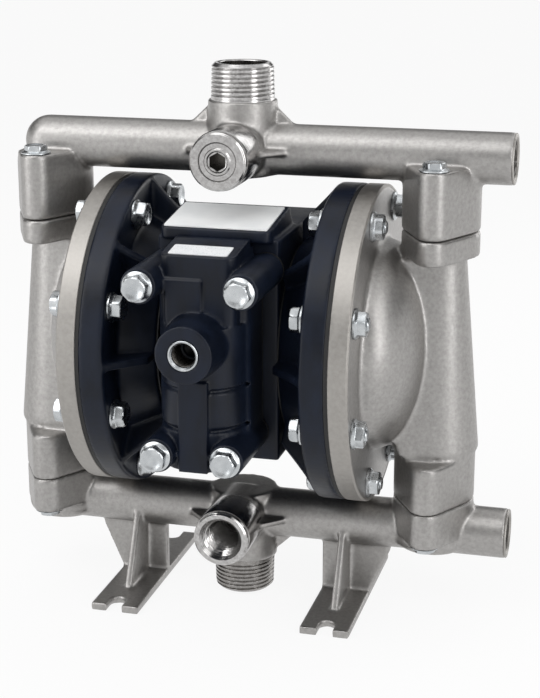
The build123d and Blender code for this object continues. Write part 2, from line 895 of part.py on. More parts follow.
with BuildPart() as connecting_rod:
    extrude(side_circle(-rod_end_x, 0, axis_z, rod_r), amount=2 * rod_end_x)
    for side, name in sides:
        extrude(
            side_circle(side * rod_end_x, 0, axis_z, screw_r + seat_fit),
            amount=-side * screw_depth,
            mode=Mode.SUBTRACT,
        )
save(connecting_rod.part, "connecting_rod")

with BuildPart() as pilot_rod:
    extrude(side_circle(-pilot_half_length, -pilot_y, axis_z, pilot_r), amount=2 * pilot_half_length)
    chamfer(pilot_rod.edges().filter_by(GeomType.CIRCLE), pilot_edge)
save(pilot_rod.part, "pilot_rod")

# Air caps: clamped rim, a cone down to the centre body and webs between the bolts
for side, name in sides:
    with BuildPart() as air_cap:
        with BuildSketch(Plane.XZ):
            with BuildLine():
                Polyline(
                    (side * rim_air_x, axis_z),
                    (side * rim_air_x, axis_z + flange_r),
                    (side * air_back_x, axis_z + flange_r),
                    (side * air_back_x, axis_z + air_cone_r),
                    (side * cap_inner_x, axis_z + air_neck_r),
                    (side * cap_inner_x, axis_z),
                    close=True,
                )
            make_face()
        revolve(axis=Axis((0, 0, axis_z), (1, 0, 0)))
        rim_edges = air_cap.edges().filter_by(GeomType.CIRCLE).filter_by(
            lambda edge: abs(edge.radius - flange_r) < 0.01
        )
        fillet(rim_edges.sort_by(Axis.X)[0 if side > 0 else -1], rim_edge)
        for index in range(rib_count):
            with BuildSketch(radial_plane(index * 360 / rib_count)):
                with BuildLine():
                    rib_back_x = air_back_x + overlap
                    root = Line((side * rib_back_x, air_rib_r), (side * air_back_x, air_rib_r))
                    sweep_in = ThreePointArc(
                        root @ 1,
                        (
                            side * (cap_inner_x + air_rib_bend_x * (air_back_x - cap_inner_x)),
                            air_rib_foot_r + air_rib_bend_r * (air_rib_r - air_rib_foot_r),
                        ),
                        (side * cap_inner_x, air_rib_foot_r),
                    )
                    inner_end = Line(sweep_in @ 1, (side * cap_inner_x, air_floor_r))
                    rim_side = Line(inner_end @ 1, (side * rib_back_x, air_floor_r))
                    Line(rim_side @ 1, root @ 0)
                make_face()
            extrude(amount=air_rib_t / 2, both=True)
        # air chamber
        with BuildSketch(Plane.XZ):
            with BuildLine():
                Polyline(
                    (side * rim_air_x, axis_z),
                    (side * rim_air_x, axis_z + clamp_r),
                    (side * (air_back_x + air_wall), axis_z + clamp_r - air_wall - overlap),
                    (side * air_floor_x, axis_z + screw_circle_r + cap_screw_head_r + overlap),
                    (side * air_floor_x, axis_z),
                    close=True,
                )
            make_face()
        revolve(axis=Axis((0, 0, axis_z), (1, 0, 0)), mode=Mode.SUBTRACT)
        through = side * (air_floor_x - cap_inner_x)
        extrude(
            side_circle(side * cap_inner_x, 0, axis_z, rod_r + rod_clearance),
            amount=through,
            mode=Mode.SUBTRACT,
        )
        extrude(
            side_circle(side * air_floor_x, 0, axis_z, bushing_r + seat_fit),
            amount=-side * bushing_length,
            mode=Mode.SUBTRACT,
        )
        extrude(
            side_circle(side * cap_inner_x, -pilot_y, axis_z, pilot_r + running_fit),
            amount=through,
            mode=Mode.SUBTRACT,
        )
        with BuildSketch(across_plane(side * cap_inner_x)):
            with PolarLocations(screw_circle_r, cap_screw_count, start_angle=180 / cap_screw_count):
                Circle(cap_screw_r + cap_screw_gap)
        extrude(amount=through, mode=Mode.SUBTRACT)
        with BuildSketch(across_plane(side * rim_air_x)):
            with PolarLocations(bolt_circle_r, bolt_count, start_angle=bolt_turn / 2):
                Circle(flange_bolt_r + bolt_clearance)
        extrude(amount=-side * (air_rim_t + overlap), mode=Mode.SUBTRACT)
    save(air_cap.part, f"air_cap_{name}")

    with BuildPart() as air_cap_gasket:
        extrude(
            side_circle(side * body_half_x, 0, axis_z, air_neck_r - gasket_inset),
            amount=side * gasket_t,
        )
        extrude(
            side_circle(side * body_half_x, 0, axis_z, rod_r + rod_clearance),
            amount=side * gasket_t,
            mode=Mode.SUBTRACT,
        )
        extrude(
            side_circle(side * body_half_x, -pilot_y, axis_z, pilot_r + running_fit),
            amount=side * gasket_t,
            mode=Mode.SUBTRACT,
        )
        with BuildSketch(across_plane(side * body_half_x)):
            with PolarLocations(screw_circle_r, cap_screw_count, start_angle=180 / cap_screw_count):
                Circle(cap_screw_r + cap_screw_gap)
        extrude(amount=side * gasket_t, mode=Mode.SUBTRACT)
    save(air_cap_gasket.part, f"air_cap_gasket_{name}")

    with BuildPart() as air_cap_screws:
        with BuildSketch(across_plane(side * air_floor_x)):
            with PolarLocations(screw_circle_r, cap_screw_count, start_angle=180 / cap_screw_count):
                Circle(cap_screw_head_r)
        extrude(amount=side * cap_screw_head_t)
        with BuildSketch(across_plane(side * air_floor_x)):
            with PolarLocations(screw_circle_r, cap_screw_count, start_angle=180 / cap_screw_count):
                Circle(cap_screw_r)
        extrude(amount=-side * (air_floor_x - body_half_x + cap_screw_bite))
    save(air_cap_screws.part, f"air_cap_screws_{name}")

    # bolts with their heads on the air side, and flanged nuts on the liquid side
    with BuildPart() as flange_bolts:
        for index in range(bolt_count):
            turn = radians((index + 0.5) * bolt_turn)
            spot = (side * air_back_x, bolt_circle_r * cos(turn), axis_z + bolt_circle_r * sin(turn))
            add(hex_head(Plane(spot, x_dir=(0, 1, 0), z_dir=(-side, 0, 0)), head_t, hex_half, cup_depth))
            extrude(
                side_circle(spot[0], spot[1], spot[2], flange_bolt_r),
                amount=side * (liquid_front_x - air_back_x + nut_t + bolt_end),
            )
    save(flange_bolts.part, f"flange_bolts_{name}")
    with BuildPart() as flange_nuts:
        for index in range(bolt_count):
            turn = radians((index + 0.5) * bolt_turn)
            spot = (side * liquid_front_x, bolt_circle_r * cos(turn), axis_z + bolt_circle_r * sin(turn))
            seat_plane = Plane(spot, x_dir=(0, 1, 0), z_dir=(side, 0, 0))
            with BuildSketch(seat_plane):
                Circle(head_flange_r)
                Circle(flange_bolt_r + seat_fit, mode=Mode.SUBTRACT)
            extrude(amount=head_flange_t)
            with BuildSketch(seat_plane):
                RegularPolygon(hex_half, 6, major_radius=False)
                Circle(flange_bolt_r + seat_fit, mode=Mode.SUBTRACT)
            extrude(amount=nut_t)
    save(flange_nuts.part, f"flange_nuts_{name}")

with BuildPart() as rod_bushings:
    for side, name in sides:
        extrude(side_circle(side * air_floor_x, 0, axis_z, bushing_r), amount=-side * bushing_length)
        extrude(
            side_circle(side * air_floor_x, 0, axis_z, rod_r + running_fit),
            amount=-side * bushing_length,
            mode=Mode.SUBTRACT,
        )
save(rod_bushings.part, "rod_bushings")

with BuildPart() as rod_seals:
    for side, name in sides:
        extrude(side_circle(side * body_half_x, 0, axis_z, seal_r), amount=-side * seal_length)
        extrude(
            side_circle(side * body_half_x, 0, axis_z, rod_r + running_fit),
            amount=-side * seal_length,
            mode=Mode.SUBTRACT,
        )
save(rod_seals.part, "rod_seals")

# Centre body: moulded block between the air caps with the sloped deck for the nameplate
with BuildPart() as center_body:
    with BuildSketch(Plane.YZ.offset(-body_half_x)):
        with BuildLine():
            Polyline(
                (-body_front_y, axis_z - body_bottom),
                (-body_front_y, axis_z + body_top),
                (body_back_y, axis_z + body_top),
                (body_back_y, axis_z - body_bottom),
                close=True,
            )
        make_face()
        fillet(vertices().group_by(Axis.X)[-1], body_corner)
    extrude(amount=2 * body_half_x)
    with BuildPart(mode=Mode.PRIVATE) as pad:
        with BuildSketch(Plane.YZ.offset(-pad_half_x)):
            with BuildLine():
                Polyline(
                    (-pad_front_y, axis_z + body_top - pad_sink),
                    (-pad_front_y, axis_z + pad_front_top),
                    (-pad_back_y, axis_z + pad_back_top),
                    (-pad_back_y + pad_tail, axis_z + body_top - pad_sink),
                    close=True,
                )
            make_face()
        extrude(amount=2 * pad_half_x)
        fillet(pad.edges().filter_by(Axis.Z), pad_corner)
    add(pad.part)
    # exhaust boss at the back
    exhaust_z = axis_z - exhaust_drop
    extrude(front_circle(0, exhaust_z, exhaust_boss_r, -body_back_y), amount=-exhaust_boss_length)
    extrude(
        front_circle(0, exhaust_z, exhaust_bore_r, -body_back_y - exhaust_boss_length),
        amount=exhaust_depth,
        mode=Mode.SUBTRACT,
    )
    # rod, seal and pilot bores
    extrude(
        side_circle(-body_half_x, 0, axis_z, rod_r + rod_clearance),
        amount=2 * body_half_x,
        mode=Mode.SUBTRACT,
    )
    extrude(
        side_circle(-body_half_x, -pilot_y, axis_z, pilot_r + running_fit),
        amount=2 * body_half_x,
        mode=Mode.SUBTRACT,
    )
    for side, name in sides:
        extrude(
            side_circle(side * body_half_x, 0, axis_z, seal_r + seat_fit),
            amount=-side * seal_length,
            mode=Mode.SUBTRACT,
        )
        with BuildSketch(across_plane(side * body_half_x)):
            with PolarLocations(screw_circle_r, cap_screw_count, start_angle=180 / cap_screw_count):
                Circle(cap_screw_r + seat_fit)
        extrude(amount=-side * (cap_screw_bite + screw_end_gap), mode=Mode.SUBTRACT)
    for x, z in (
        (-upper_bolt_x, upper_bolt_z),
        (upper_bolt_x, upper_bolt_z),
        (-lower_bolt_x, lower_bolt_z),
        (lower_bolt_x, lower_bolt_z),
    ):
        extrude(
            front_circle(x, axis_z + z, valve_bolt_r + seat_fit, body_front_y),
            amount=-valve_bolt_bite - screw_end_gap,
            mode=Mode.SUBTRACT,
        )
save(center_body.part, "center_body")

# Valve block on the front of the centre body, over its gasket
valve_bolts = (
    (-upper_bolt_x, upper_bolt_z, upper_boss_r),
    (upper_bolt_x, upper_bolt_z, upper_boss_r),
    (-lower_bolt_x, lower_bolt_z, lower_boss_r),
    (lower_bolt_x, lower_bolt_z, lower_boss_r),
)
with BuildPart() as valve_block:
    with BuildSketch(Plane.YZ.offset(-block_half_x)):
        with BuildLine():
            Polyline(
                (-block_back_y, axis_z),
                (-block_front_y, axis_z),
                (-block_front_y, axis_z + block_top_front),
                (-block_slope_y, axis_z + block_top_back),
                (-pad_front_y - block_pad_gap, axis_z + block_top_back),
                (-pad_front_y - block_pad_gap, axis_z + body_top - block_shelf),
                (-block_back_y, axis_z + body_top - block_shelf),
                close=True,
            )
        make_face()
    extrude(amount=2 * block_half_x)
    fillet(valve_block.edges().filter_by(Axis.Z).group_by(Axis.Y)[0], shoulder_edge)
    with BuildSketch(Plane.XY.offset(axis_z - shoulder_bottom)):
        with Locations((0, -(shoulder_y + block_back_y) / 2)):
            Rectangle(2 * shoulder_half_x, shoulder_y - block_back_y)
        fillet(vertices().group_by(Axis.Y)[0], shoulder_edge)
    extrude(amount=shoulder_bottom + shoulder_top)
    # tower of the main valve with its ring grooves
    extrude(
        flat_circle(0, -valve_y, axis_z - block_bottom, tower_r),
        amount=block_bottom + tower_top,
    )
    for groove_z in grooves:
        with BuildSketch(Plane.XY.offset(axis_z + groove_z)):
            with Locations((0, -valve_y)):
                Circle(tower_r + overlap)
                Circle(tower_r - groove_depth, mode=Mode.SUBTRACT)
            with Locations((0, 0)):
                Rectangle(2 * (tower_r + overlap), 2 * (valve_y - groove_w), mode=Mode.SUBTRACT)
        extrude(amount=groove_w, mode=Mode.SUBTRACT)
    # tapered boss of the air inlet
    with BuildSketch(Plane.XZ.offset(boss_root_y)):
        with Locations((0, inlet_axis_z)):
            Circle(air_boss_root_r)
    with BuildSketch(Plane.XZ.offset(air_boss_y)):
        with Locations((0, inlet_axis_z)):
            Circle(air_boss_r)
    loft()
    # rib below the boss and raised panel above it
    with BuildSketch(Plane.XY.offset(axis_z - block_bottom)):
        with Locations((0, -(rib_y + block_back_y) / 2)):
            Rectangle(2 * rib_half_x, rib_y - block_back_y)
    extrude(amount=block_bottom)
    with BuildSketch(Plane.XZ.offset(block_front_y - overlap)):
        with Locations(((panel_right_x - panel_left_x) / 2, axis_z + (panel_low + panel_high) / 2)):
            Rectangle(panel_right_x + panel_left_x, panel_high - panel_low)
    extrude(amount=panel_t + overlap)
    for x, z, boss_radius in valve_bolts:
        extrude(
            front_circle(x, axis_z + z, boss_radius, block_back_y),
            amount=bolt_boss_y - block_back_y,
        )
    # bolt holes, air way and main valve bore
    for x, z, boss_radius in valve_bolts:
        extrude(
            front_circle(x, axis_z + z, valve_bolt_r + bolt_clearance, block_back_y),
            amount=bolt_boss_y - block_back_y,
            mode=Mode.SUBTRACT,
        )
    extrude(
        front_circle(0, inlet_axis_z, insert_r + seat_fit, air_boss_y),
        amount=-insert_length,
        mode=Mode.SUBTRACT,
    )
    extrude(
        front_circle(0, inlet_axis_z, air_way_r, air_boss_y),
        amount=valve_y - air_boss_y,
        mode=Mode.SUBTRACT,
    )
    bore_top_z = axis_z + spool_mid_z + spool_length / 2 + spool_travel + spool_gap
    bore_low_z = axis_z - block_bottom
    extrude(
        flat_circle(0, -valve_y, bore_low_z, sleeve_r + seat_fit),
        amount=bore_top_z - bore_low_z,
        mode=Mode.SUBTRACT,
    )
    extrude(
        flat_circle(0, -valve_y, bore_low_z, end_cap_r + seat_fit),
        amount=end_cap_t,
        mode=Mode.SUBTRACT,
    )
save(valve_block.part, "valve_block")

with BuildPart() as valve_block_gasket:
    with BuildSketch(Plane.XZ.offset(body_front_y)):
        with Locations((0, axis_z + (shoulder_top - shoulder_bottom) / 2)):
            Rectangle(2 * shoulder_half_x, shoulder_top + shoulder_bottom)
        with Locations((-upper_bolt_x, axis_z + upper_bolt_z), (upper_bolt_x, axis_z + upper_bolt_z)):
            Circle(upper_boss_r)
        with Locations((-lower_bolt_x, axis_z + lower_bolt_z), (lower_bolt_x, axis_z + lower_bolt_z)):
            Circle(lower_boss_r)
        for x, z, boss_radius in valve_bolts:
            with Locations((x, axis_z + z)):
                Circle(valve_bolt_r + bolt_clearance, mode=Mode.SUBTRACT)
    extrude(amount=valve_gasket_t)
save(valve_block_gasket.part, "valve_block_gasket")

with BuildPart() as valve_block_bolts:
    for x, z, boss_radius in valve_bolts:
        spot = (x, -bolt_boss_y, axis_z + z)
        add(hex_head(Plane(spot, x_dir=(1, 0, 0), z_dir=(0, -1, 0)), head_t, hex_half, cup_depth))
        extrude(
            front_circle(x, axis_z + z, valve_bolt_r, bolt_boss_y),
            amount=body_front_y - valve_bolt_bite - bolt_boss_y,
        )
save(valve_block_bolts.part, "valve_block_bolts")

with BuildPart() as air_inlet_insert:
    extrude(
        front_circle(0, inlet_axis_z, insert_r, air_boss_y + insert_proud),
        amount=-insert_length - insert_proud,
    )
    extrude(
        front_circle(0, inlet_axis_z, insert_bore_r, air_boss_y + insert_proud),
        amount=-insert_length - insert_proud,
        mode=Mode.SUBTRACT,
    )
save(air_inlet_insert.part, "air_inlet_insert")

# Main valve: a three-land spool sliding in a sleeve, closed below by a cap
sleeve_low_z = axis_z - block_bottom + end_cap_t
with BuildPart() as valve_sleeve:
    extrude(
        flat_circle(0, -valve_y, sleeve_low_z, sleeve_r),
        amount=bore_top_z - sleeve_low_z,
    )
    extrude(
        flat_circle(0, -valve_y, sleeve_low_z, sleeve_bore_r),
        amount=bore_top_z - sleeve_low_z,
        mode=Mode.SUBTRACT,
    )
save(valve_sleeve.part, "valve_sleeve")

spool_low_z = axis_z + spool_mid_z - spool_length / 2
with BuildPart() as spool:
    extrude(flat_circle(0, -valve_y, spool_low_z, spool_neck_r), amount=spool_length)
    for land in range(spool_land_count):
        land_z = spool_low_z + land * (spool_length - spool_land) / (spool_land_count - 1)
        extrude(flat_circle(0, -valve_y, land_z, spool_r), amount=spool_land)
save(spool.part, "spool")

with BuildPart() as spool_end_cap:
    extrude(flat_circle(0, -valve_y, axis_z - block_bottom, end_cap_r), amount=end_cap_t)
save(spool_end_cap.part, "spool_end_cap")

# Bare plates on the deck and on the slope of the valve block
deck = Plane(
    origin=(0, -nameplate_front_y, axis_z + pad_front_top + pad_slope * (pad_front_y - nameplate_front_y)),
    x_dir=(1, 0, 0),
    z_dir=(0, -pad_slope, 1),
)
with BuildPart() as nameplate:
    with BuildSketch(deck):
        with Locations((0, nameplate_d / 2)):
            RectangleRounded(nameplate_w, nameplate_d, plate_corner)
    extrude(amount=nameplate_t)
save(nameplate.part, "nameplate")

block_slope = (block_top_back - block_top_front) / (block_front_y - block_slope_y)
slope_face = Plane(
    origin=(0, -label_front_y, axis_z + block_top_front + block_slope * (block_front_y - label_front_y)),
    x_dir=(1, 0, 0),
    z_dir=(0, -block_slope, 1),
)
with BuildPart() as front_label:
    with BuildSketch(slope_face):
        with Locations((0, label_d / 2)):
            RectangleRounded(label_w, label_d, plate_corner)
    extrude(amount=label_t)
save(front_label.part, "front_label")
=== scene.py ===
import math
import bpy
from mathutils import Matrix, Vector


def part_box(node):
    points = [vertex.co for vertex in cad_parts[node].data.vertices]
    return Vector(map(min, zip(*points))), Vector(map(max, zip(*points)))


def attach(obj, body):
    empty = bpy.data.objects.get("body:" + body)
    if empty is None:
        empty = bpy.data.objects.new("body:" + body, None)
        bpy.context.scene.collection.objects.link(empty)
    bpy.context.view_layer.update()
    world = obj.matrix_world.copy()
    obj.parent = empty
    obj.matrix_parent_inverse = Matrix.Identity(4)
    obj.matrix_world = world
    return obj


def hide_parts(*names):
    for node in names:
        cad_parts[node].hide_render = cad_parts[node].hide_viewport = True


bl_info = {
    "name": "Air operated diaphragm pump",
    "version": (1, 0, 0),
    "blender": (4, 5, 0),
    "location": "3D View > Sidebar > Pump",
    "description": "Dresses the packed pump: castings, air motor, threads, fasteners and plates",
    "category": "Object",
}

import bmesh
import bpy
import numpy as np
from bpy.props import FloatProperty, FloatVectorProperty, IntProperty, PointerProperty, StringProperty
from mathutils import Matrix, Vector

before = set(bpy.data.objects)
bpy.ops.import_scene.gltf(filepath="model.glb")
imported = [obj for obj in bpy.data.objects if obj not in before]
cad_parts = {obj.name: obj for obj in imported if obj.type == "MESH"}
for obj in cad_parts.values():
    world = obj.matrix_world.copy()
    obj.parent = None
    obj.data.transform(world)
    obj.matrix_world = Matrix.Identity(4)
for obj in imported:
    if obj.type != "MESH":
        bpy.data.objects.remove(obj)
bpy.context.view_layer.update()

MM = 0.001
TURN = 2 * math.pi
HOUSING = "housing"
SIDES = ((-1, "left"), (1, "right"))

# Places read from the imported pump, in metres
AXIS_Z = (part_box("connecting_rod")[0].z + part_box("connecting_rod")[1].z) / 2
OUTLET_Z = (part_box("outlet_port_plug")[0].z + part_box("outlet_port_plug")[1].z) / 2
INLET_Z = 2 * AXIS_Z - OUTLET_Z
COLUMN_X = (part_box("outlet_ball_right")[0].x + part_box("outlet_ball_right")[1].x) / 2
TOP_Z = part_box("outlet_manifold")[1].z
OUTLET_END_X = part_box("outlet_manifold")[1].x
INLET_END_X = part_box("inlet_manifold")[1].x
FRONT_HUB_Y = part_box("outlet_manifold")[0].y
AIR_FACE_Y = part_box("air_inlet_insert")[0].y
AIR_AXIS_Z = (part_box("air_inlet_insert")[0].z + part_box("air_inlet_insert")[1].z) / 2

# Sizes that pieces share, in metres: reach of the hubs from the pipes' axes, places of the bolts,
# pitch of the small pipe threads with 18 turns to the inch, and how far a male thread's tube goes
# back into its hub
HUB_REACH = 0.0205
BOLT_CIRCLE_R = 0.059
BOLT_HEAD_X = 0.0402
BOLT_NUT_X = 0.0601
JOINT_BOLT_Y = 0.021
BLOCK_BOLT_Y = -0.078
SMALL_PITCH = 0.001411
THREAD_ROOT = 0.0012


def mm(value):
    """Metres from millimetres, for a number or a whole table."""
    return np.asarray(value, float) * MM


# Colours and nodes


def linear(code):
    """Linear colour with full alpha from an sRGB hex code."""
    parts = np.array([int(code[i : i + 2], 16) / 255 for i in (0, 2, 4)])
    low = parts / 12.92
    high = ((parts + 0.055) / 1.055) ** 2.4
    return (*np.where(parts <= 0.04045, low, high).tolist(), 1.0)


def add_node(tree, kind, inputs=None, **settings):
    """Add a shader node; inputs gives each socket a value or the output that feeds it."""
    made = tree.nodes.new(kind)
    for key, value in settings.items():
        setattr(made, key, value)
    for key, value in (inputs or {}).items():
        if isinstance(value, bpy.types.NodeSocket):
            tree.links.new(value, made.inputs[key])
        else:
            made.inputs[key].default_value = value
    return made


def new_material(name):
    """Empty node material with its output, as (material, tree, output)."""
    material = bpy.data.materials.new(name)
    material.use_nodes = True
    tree = material.node_tree
    tree.nodes.clear()
    return material, tree, add_node(tree, "ShaderNodeOutputMaterial")


def principled(tree, output, inputs):
    """Principled surface with these inputs, joined to the material's output."""
    shader = add_node(tree, "ShaderNodeBsdfPrincipled", inputs)
    tree.links.new(shader.outputs[0], output.inputs["Surface"])


def mapped(tree, centre=(0, 0, 0), scale=(1, 1, 1)):
    """Object coordinates moved so that the pattern is centred on a place."""
    coords = add_node(tree, "ShaderNodeTexCoord")
    shift = tuple(-c * s for c, s in zip(centre, scale))
    place = add_node(
        tree,
        "ShaderNodeMapping",
        {"Vector": coords.outputs["Object"], "Location": shift, "Scale": scale},
    )
    return place.outputs["Vector"]


def blotches(tree, vector, size, detail=3.0, rough=0.5):
    """Noise value whose features are about size metres across."""
    noise = add_node(
        tree,
        "ShaderNodeTexNoise",
        {"Vector": vector, "Scale": 1 / size, "Detail": detail, "Roughness": rough},
    )
    return noise.outputs["Fac"]


def between(tree, factor, low, high, from_low=0.3, from_high=0.7):
    """Number that runs from low to high as the factor goes over its range."""
    ranged = add_node(
        tree,
        "ShaderNodeMapRange",
        {"Value": factor, "From Min": from_low, "From Max": from_high, "To Min": low, "To Max": high},
    )
    return ranged.outputs["Result"]


def tinted(tree, factor, first, second, from_low=0.3, from_high=0.7):
    """Colour that runs from the first hex code to the second."""
    share = between(tree, factor, 0.0, 1.0, from_low, from_high)
    mixed = add_node(
        tree, "ShaderNodeMix", {0: share, 6: linear(first), 7: linear(second)}, data_type="RGBA"
    )
    return mixed.outputs[2]


def bumped(tree, heights):
    """Normal from several (height, distance in metres, strength), one on top of the other."""
    normal = None
    for height, distance, strength in heights:
        inputs = {"Height": height, "Distance": distance, "Strength": strength}
        if normal is not None:
            inputs["Normal"] = normal
        normal = add_node(tree, "ShaderNodeBump", inputs).outputs["Normal"]
    return normal


def bead_blasted_stainless(name, light, dark, grain):
    """Cast 316 stainless steel, bead blasted: warm grey, satin, with a fine pitted grain.

    The blasting leaves overlapping dents of about 0.1 mm; they are drawn at 0.7 mm so that they
    show. A fine mottling and long soft waves come from the casting under it.
    """
    material, tree, output = new_material(name)
    vector = mapped(tree)
    mottle = blotches(tree, vector, mm(1.6), detail=3.0, rough=0.6)
    pits = blotches(tree, vector, grain, detail=2.0)
    waves = blotches(tree, vector, mm(7.0), detail=1.0)
    principled(
        tree,
        output,
        {
            "Base Color": tinted(tree, mottle, dark, light),
            "Metallic": 1.0,
            "Roughness": between(tree, pits, 0.36, 0.50),
            "Normal": bumped(tree, [(waves, mm(0.25), 0.25), (pits, mm(0.05), 0.55)]),
        },
    )
    return material


def turned_stainless(name, centre, along, light, dark, pitch=0.5, rough=0.24, depth=0.012):
    """Stainless steel turned on a lathe: bright, with fine rings round the axis it was cut about.

    The tool leaves a groove every 0.1 mm or so, drawn here at pitch millimetres. On a turned edge
    the grooves are bands along the axis, on a faced end they are rings round it.
    """
    material, tree, output = new_material(name)
    vector = mapped(tree, centre)
    # a wave texture repeats every TURN / 20 metres at a scale of 1
    scale = TURN / (20 * mm(pitch))
    wave = {"Vector": vector, "Scale": scale, "Distortion": 0.4, "Detail": 1.0, "Detail Scale": 2.0}
    bands = add_node(
        tree, "ShaderNodeTexWave", wave, wave_type="BANDS", bands_direction=along
    )
    rings = add_node(
        tree, "ShaderNodeTexWave", wave, wave_type="RINGS", rings_direction=along
    )
    stains = blotches(tree, vector, mm(1.8), detail=3.0, rough=0.6)
    principled(
        tree,
        output,
        {
            "Base Color": tinted(tree, stains, dark, light),
            "Metallic": 1.0,
            "Roughness": between(tree, stains, rough - 0.04, rough + 0.06),
            "Normal": bumped(
                tree,
                [(bands.outputs["Fac"], mm(depth), 0.6), (rings.outputs["Fac"], mm(depth), 0.6)],
            ),
        },
    )
    return material


def bright_zinc(name, light, dark):
    """Cold-headed steel with bright zinc plating: pale, quick highlights, small dents."""
    material, tree, output = new_material(name)
    vector = mapped(tree)
    dents = blotches(tree, vector, mm(1.6), detail=2.0)
    cloud = blotches(tree, vector, mm(5.0), detail=2.0)
    principled(
        tree,
        output,
        {
            "Base Color": tinted(tree, cloud, dark, light),
            "Metallic": 1.0,
            "Roughness": between(tree, dents, 0.22, 0.36),
            "Normal": bumped(tree, [(dents, mm(0.08), 0.3)]),
        },
    )
    return material


def glass_filled_nylon(name, light, dark, grain):
    """Glass-filled polyamide, moulded black with a blue cast: satin, faint flow marks and grain.

    The mould's spark-eroded grain of about 0.2 mm is drawn at 0.8 mm.
    """
    material, tree, output = new_material(name)
    vector = mapped(tree)
    flow = blotches(tree, mapped(tree, scale=(1, 1, 0.45)), mm(9.0), detail=4.0, rough=0.6)
    skin = blotches(tree, vector, grain, detail=2.0)
    principled(
        tree,
        output,
        {
            "Base Color": tinted(tree, flow, dark, light, 0.25, 0.75),
            "Roughness": between(tree, flow, 0.32, 0.46),
            "IOR": 1.5,
            "Specular IOR Level": 0.26,
            "Normal": bumped(tree, [(skin, mm(0.06), 0.4)]),
        },
    )
    return material


def plain_moulded(name, light, dark, rough, grain=0.6, ior=1.5, metallic=0.0):
    """Plain rubber, plastic or film, or darker metal for a bore, whose dark tone is painted shade:
    slightly uneven in tone and skin.
    """
    material, tree, output = new_material(name)
    vector = mapped(tree)
    cloud = blotches(tree, vector, mm(4.0))
    skin = blotches(tree, vector, mm(grain), detail=2.0)
    principled(
        tree,
        output,
        {
            "Base Color": tinted(tree, cloud, dark, light),
            "Metallic": metallic,
            "Roughness": between(tree, skin, rough - 0.05, rough + 0.05),
            "IOR": ior,
            "Normal": bumped(tree, [(skin, mm(0.03), 0.3)]),
        },
    )
    return material


def brushed_plate(name, light, dark):
    """Anodised aluminium plate: pale, with brush lines along its length and a soft sheen."""
    material, tree, output = new_material(name)
    lines = blotches(tree, mapped(tree, scale=(0.04, 1, 1)), mm(0.5), detail=3.0)
    cloud = blotches(tree, mapped(tree), mm(12.0))
    principled(
        tree,
        output,
        {
            "Base Color": tinted(tree, cloud, dark, light),
            "Roughness": between(tree, lines, 0.30, 0.46),
            "Normal": bumped(tree, [(lines, mm(0.01), 0.3)]),
        },
    )
    return material


# Shapes


def directions(axis):
    """Two unit vectors square to an axis and to each other, and the axis itself."""
    axis = np.asarray(axis, float)
    axis = axis / np.linalg.norm(axis)
    helper = np.array([0.0, 0.0, 1.0]) if abs(axis[2]) < 0.9 else np.array([0.0, -1.0, 0.0])
    first = np.cross(helper, axis)
    first = first / np.linalg.norm(first)
    return first, np.cross(axis, first), axis


def around(origin, axis, along, radius, columns):
    """Grid of points round an axis: origin + along * axis + radius * (u cos t + v sin t).

    along and radius are tables of rows by columns, or one value for each row.
    """
    first, second, axis = directions(axis)
    turn = np.arange(columns) * TURN / columns
    along = np.broadcast_to(np.reshape(along, (len(along), -1)), (len(along), columns))
    radius = np.broadcast_to(np.reshape(radius, (len(radius), -1)), (len(radius), columns))
    ring = np.cos(turn)[:, None] * first + np.sin(turn)[:, None] * second
    return np.asarray(origin) + along[..., None] * axis + radius[..., None] * ring


def grid_faces(rows, columns, loop_rows):
    """Corner numbers of the quads of a grid that closes round its columns, and its rows if asked."""
    row = np.arange(rows if loop_rows else rows - 1)[:, None]
    column = np.arange(columns)[None, :]
    after_row = (row + 1) % rows
    after_column = (column + 1) % columns
    corners = [
        row * columns + column,
        row * columns + after_column,
        after_row * columns + after_column,
        after_row * columns + column,
    ]
    return np.stack([np.broadcast_to(c, (row.size, columns)) for c in corners], -1).reshape(-1, 4)


def make_piece(name, grids, material, body=HOUSING, smooth_angle=32.0):
    """One closed mesh from grids of points, each a (points, loop_rows) pair, riding on a body.

    Corners that fall together are merged, so poles and seams close, and faces turn outwards.
    """
    points, faces, start = [], [], 0
    for grid, loop_rows in grids:
        rows, columns = grid.shape[:2]
        points.append(grid.reshape(-1, 3))
        faces.append(grid_faces(rows, columns, loop_rows) + start)
        start += rows * columns
    mesh = bpy.data.meshes.new(name)
    mesh.from_pydata(np.concatenate(points).tolist(), [], np.concatenate(faces).tolist())
    shell = bmesh.new()
    shell.from_mesh(mesh)
    bmesh.ops.remove_doubles(shell, verts=shell.verts, dist=1e-7)
    bmesh.ops.dissolve_degenerate(shell, edges=shell.edges, dist=1e-8)
    bmesh.ops.recalc_face_normals(shell, faces=shell.faces)
    shell.to_mesh(mesh)
    shell.free()
    return finish_piece(name, mesh, material, body, smooth_angle)


def finish_piece(name, mesh, material, body, smooth_angle=None):
    """Object for a mesh, with its material and smooth shading, riding on a body."""
    piece = bpy.data.objects.new(name, mesh)
    bpy.context.scene.collection.objects.link(piece)
    mesh.materials.append(material)
    if smooth_angle is not None:
        mesh.shade_smooth()
        smooth_faces(piece, smooth_angle)
    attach(piece, body)
    return piece


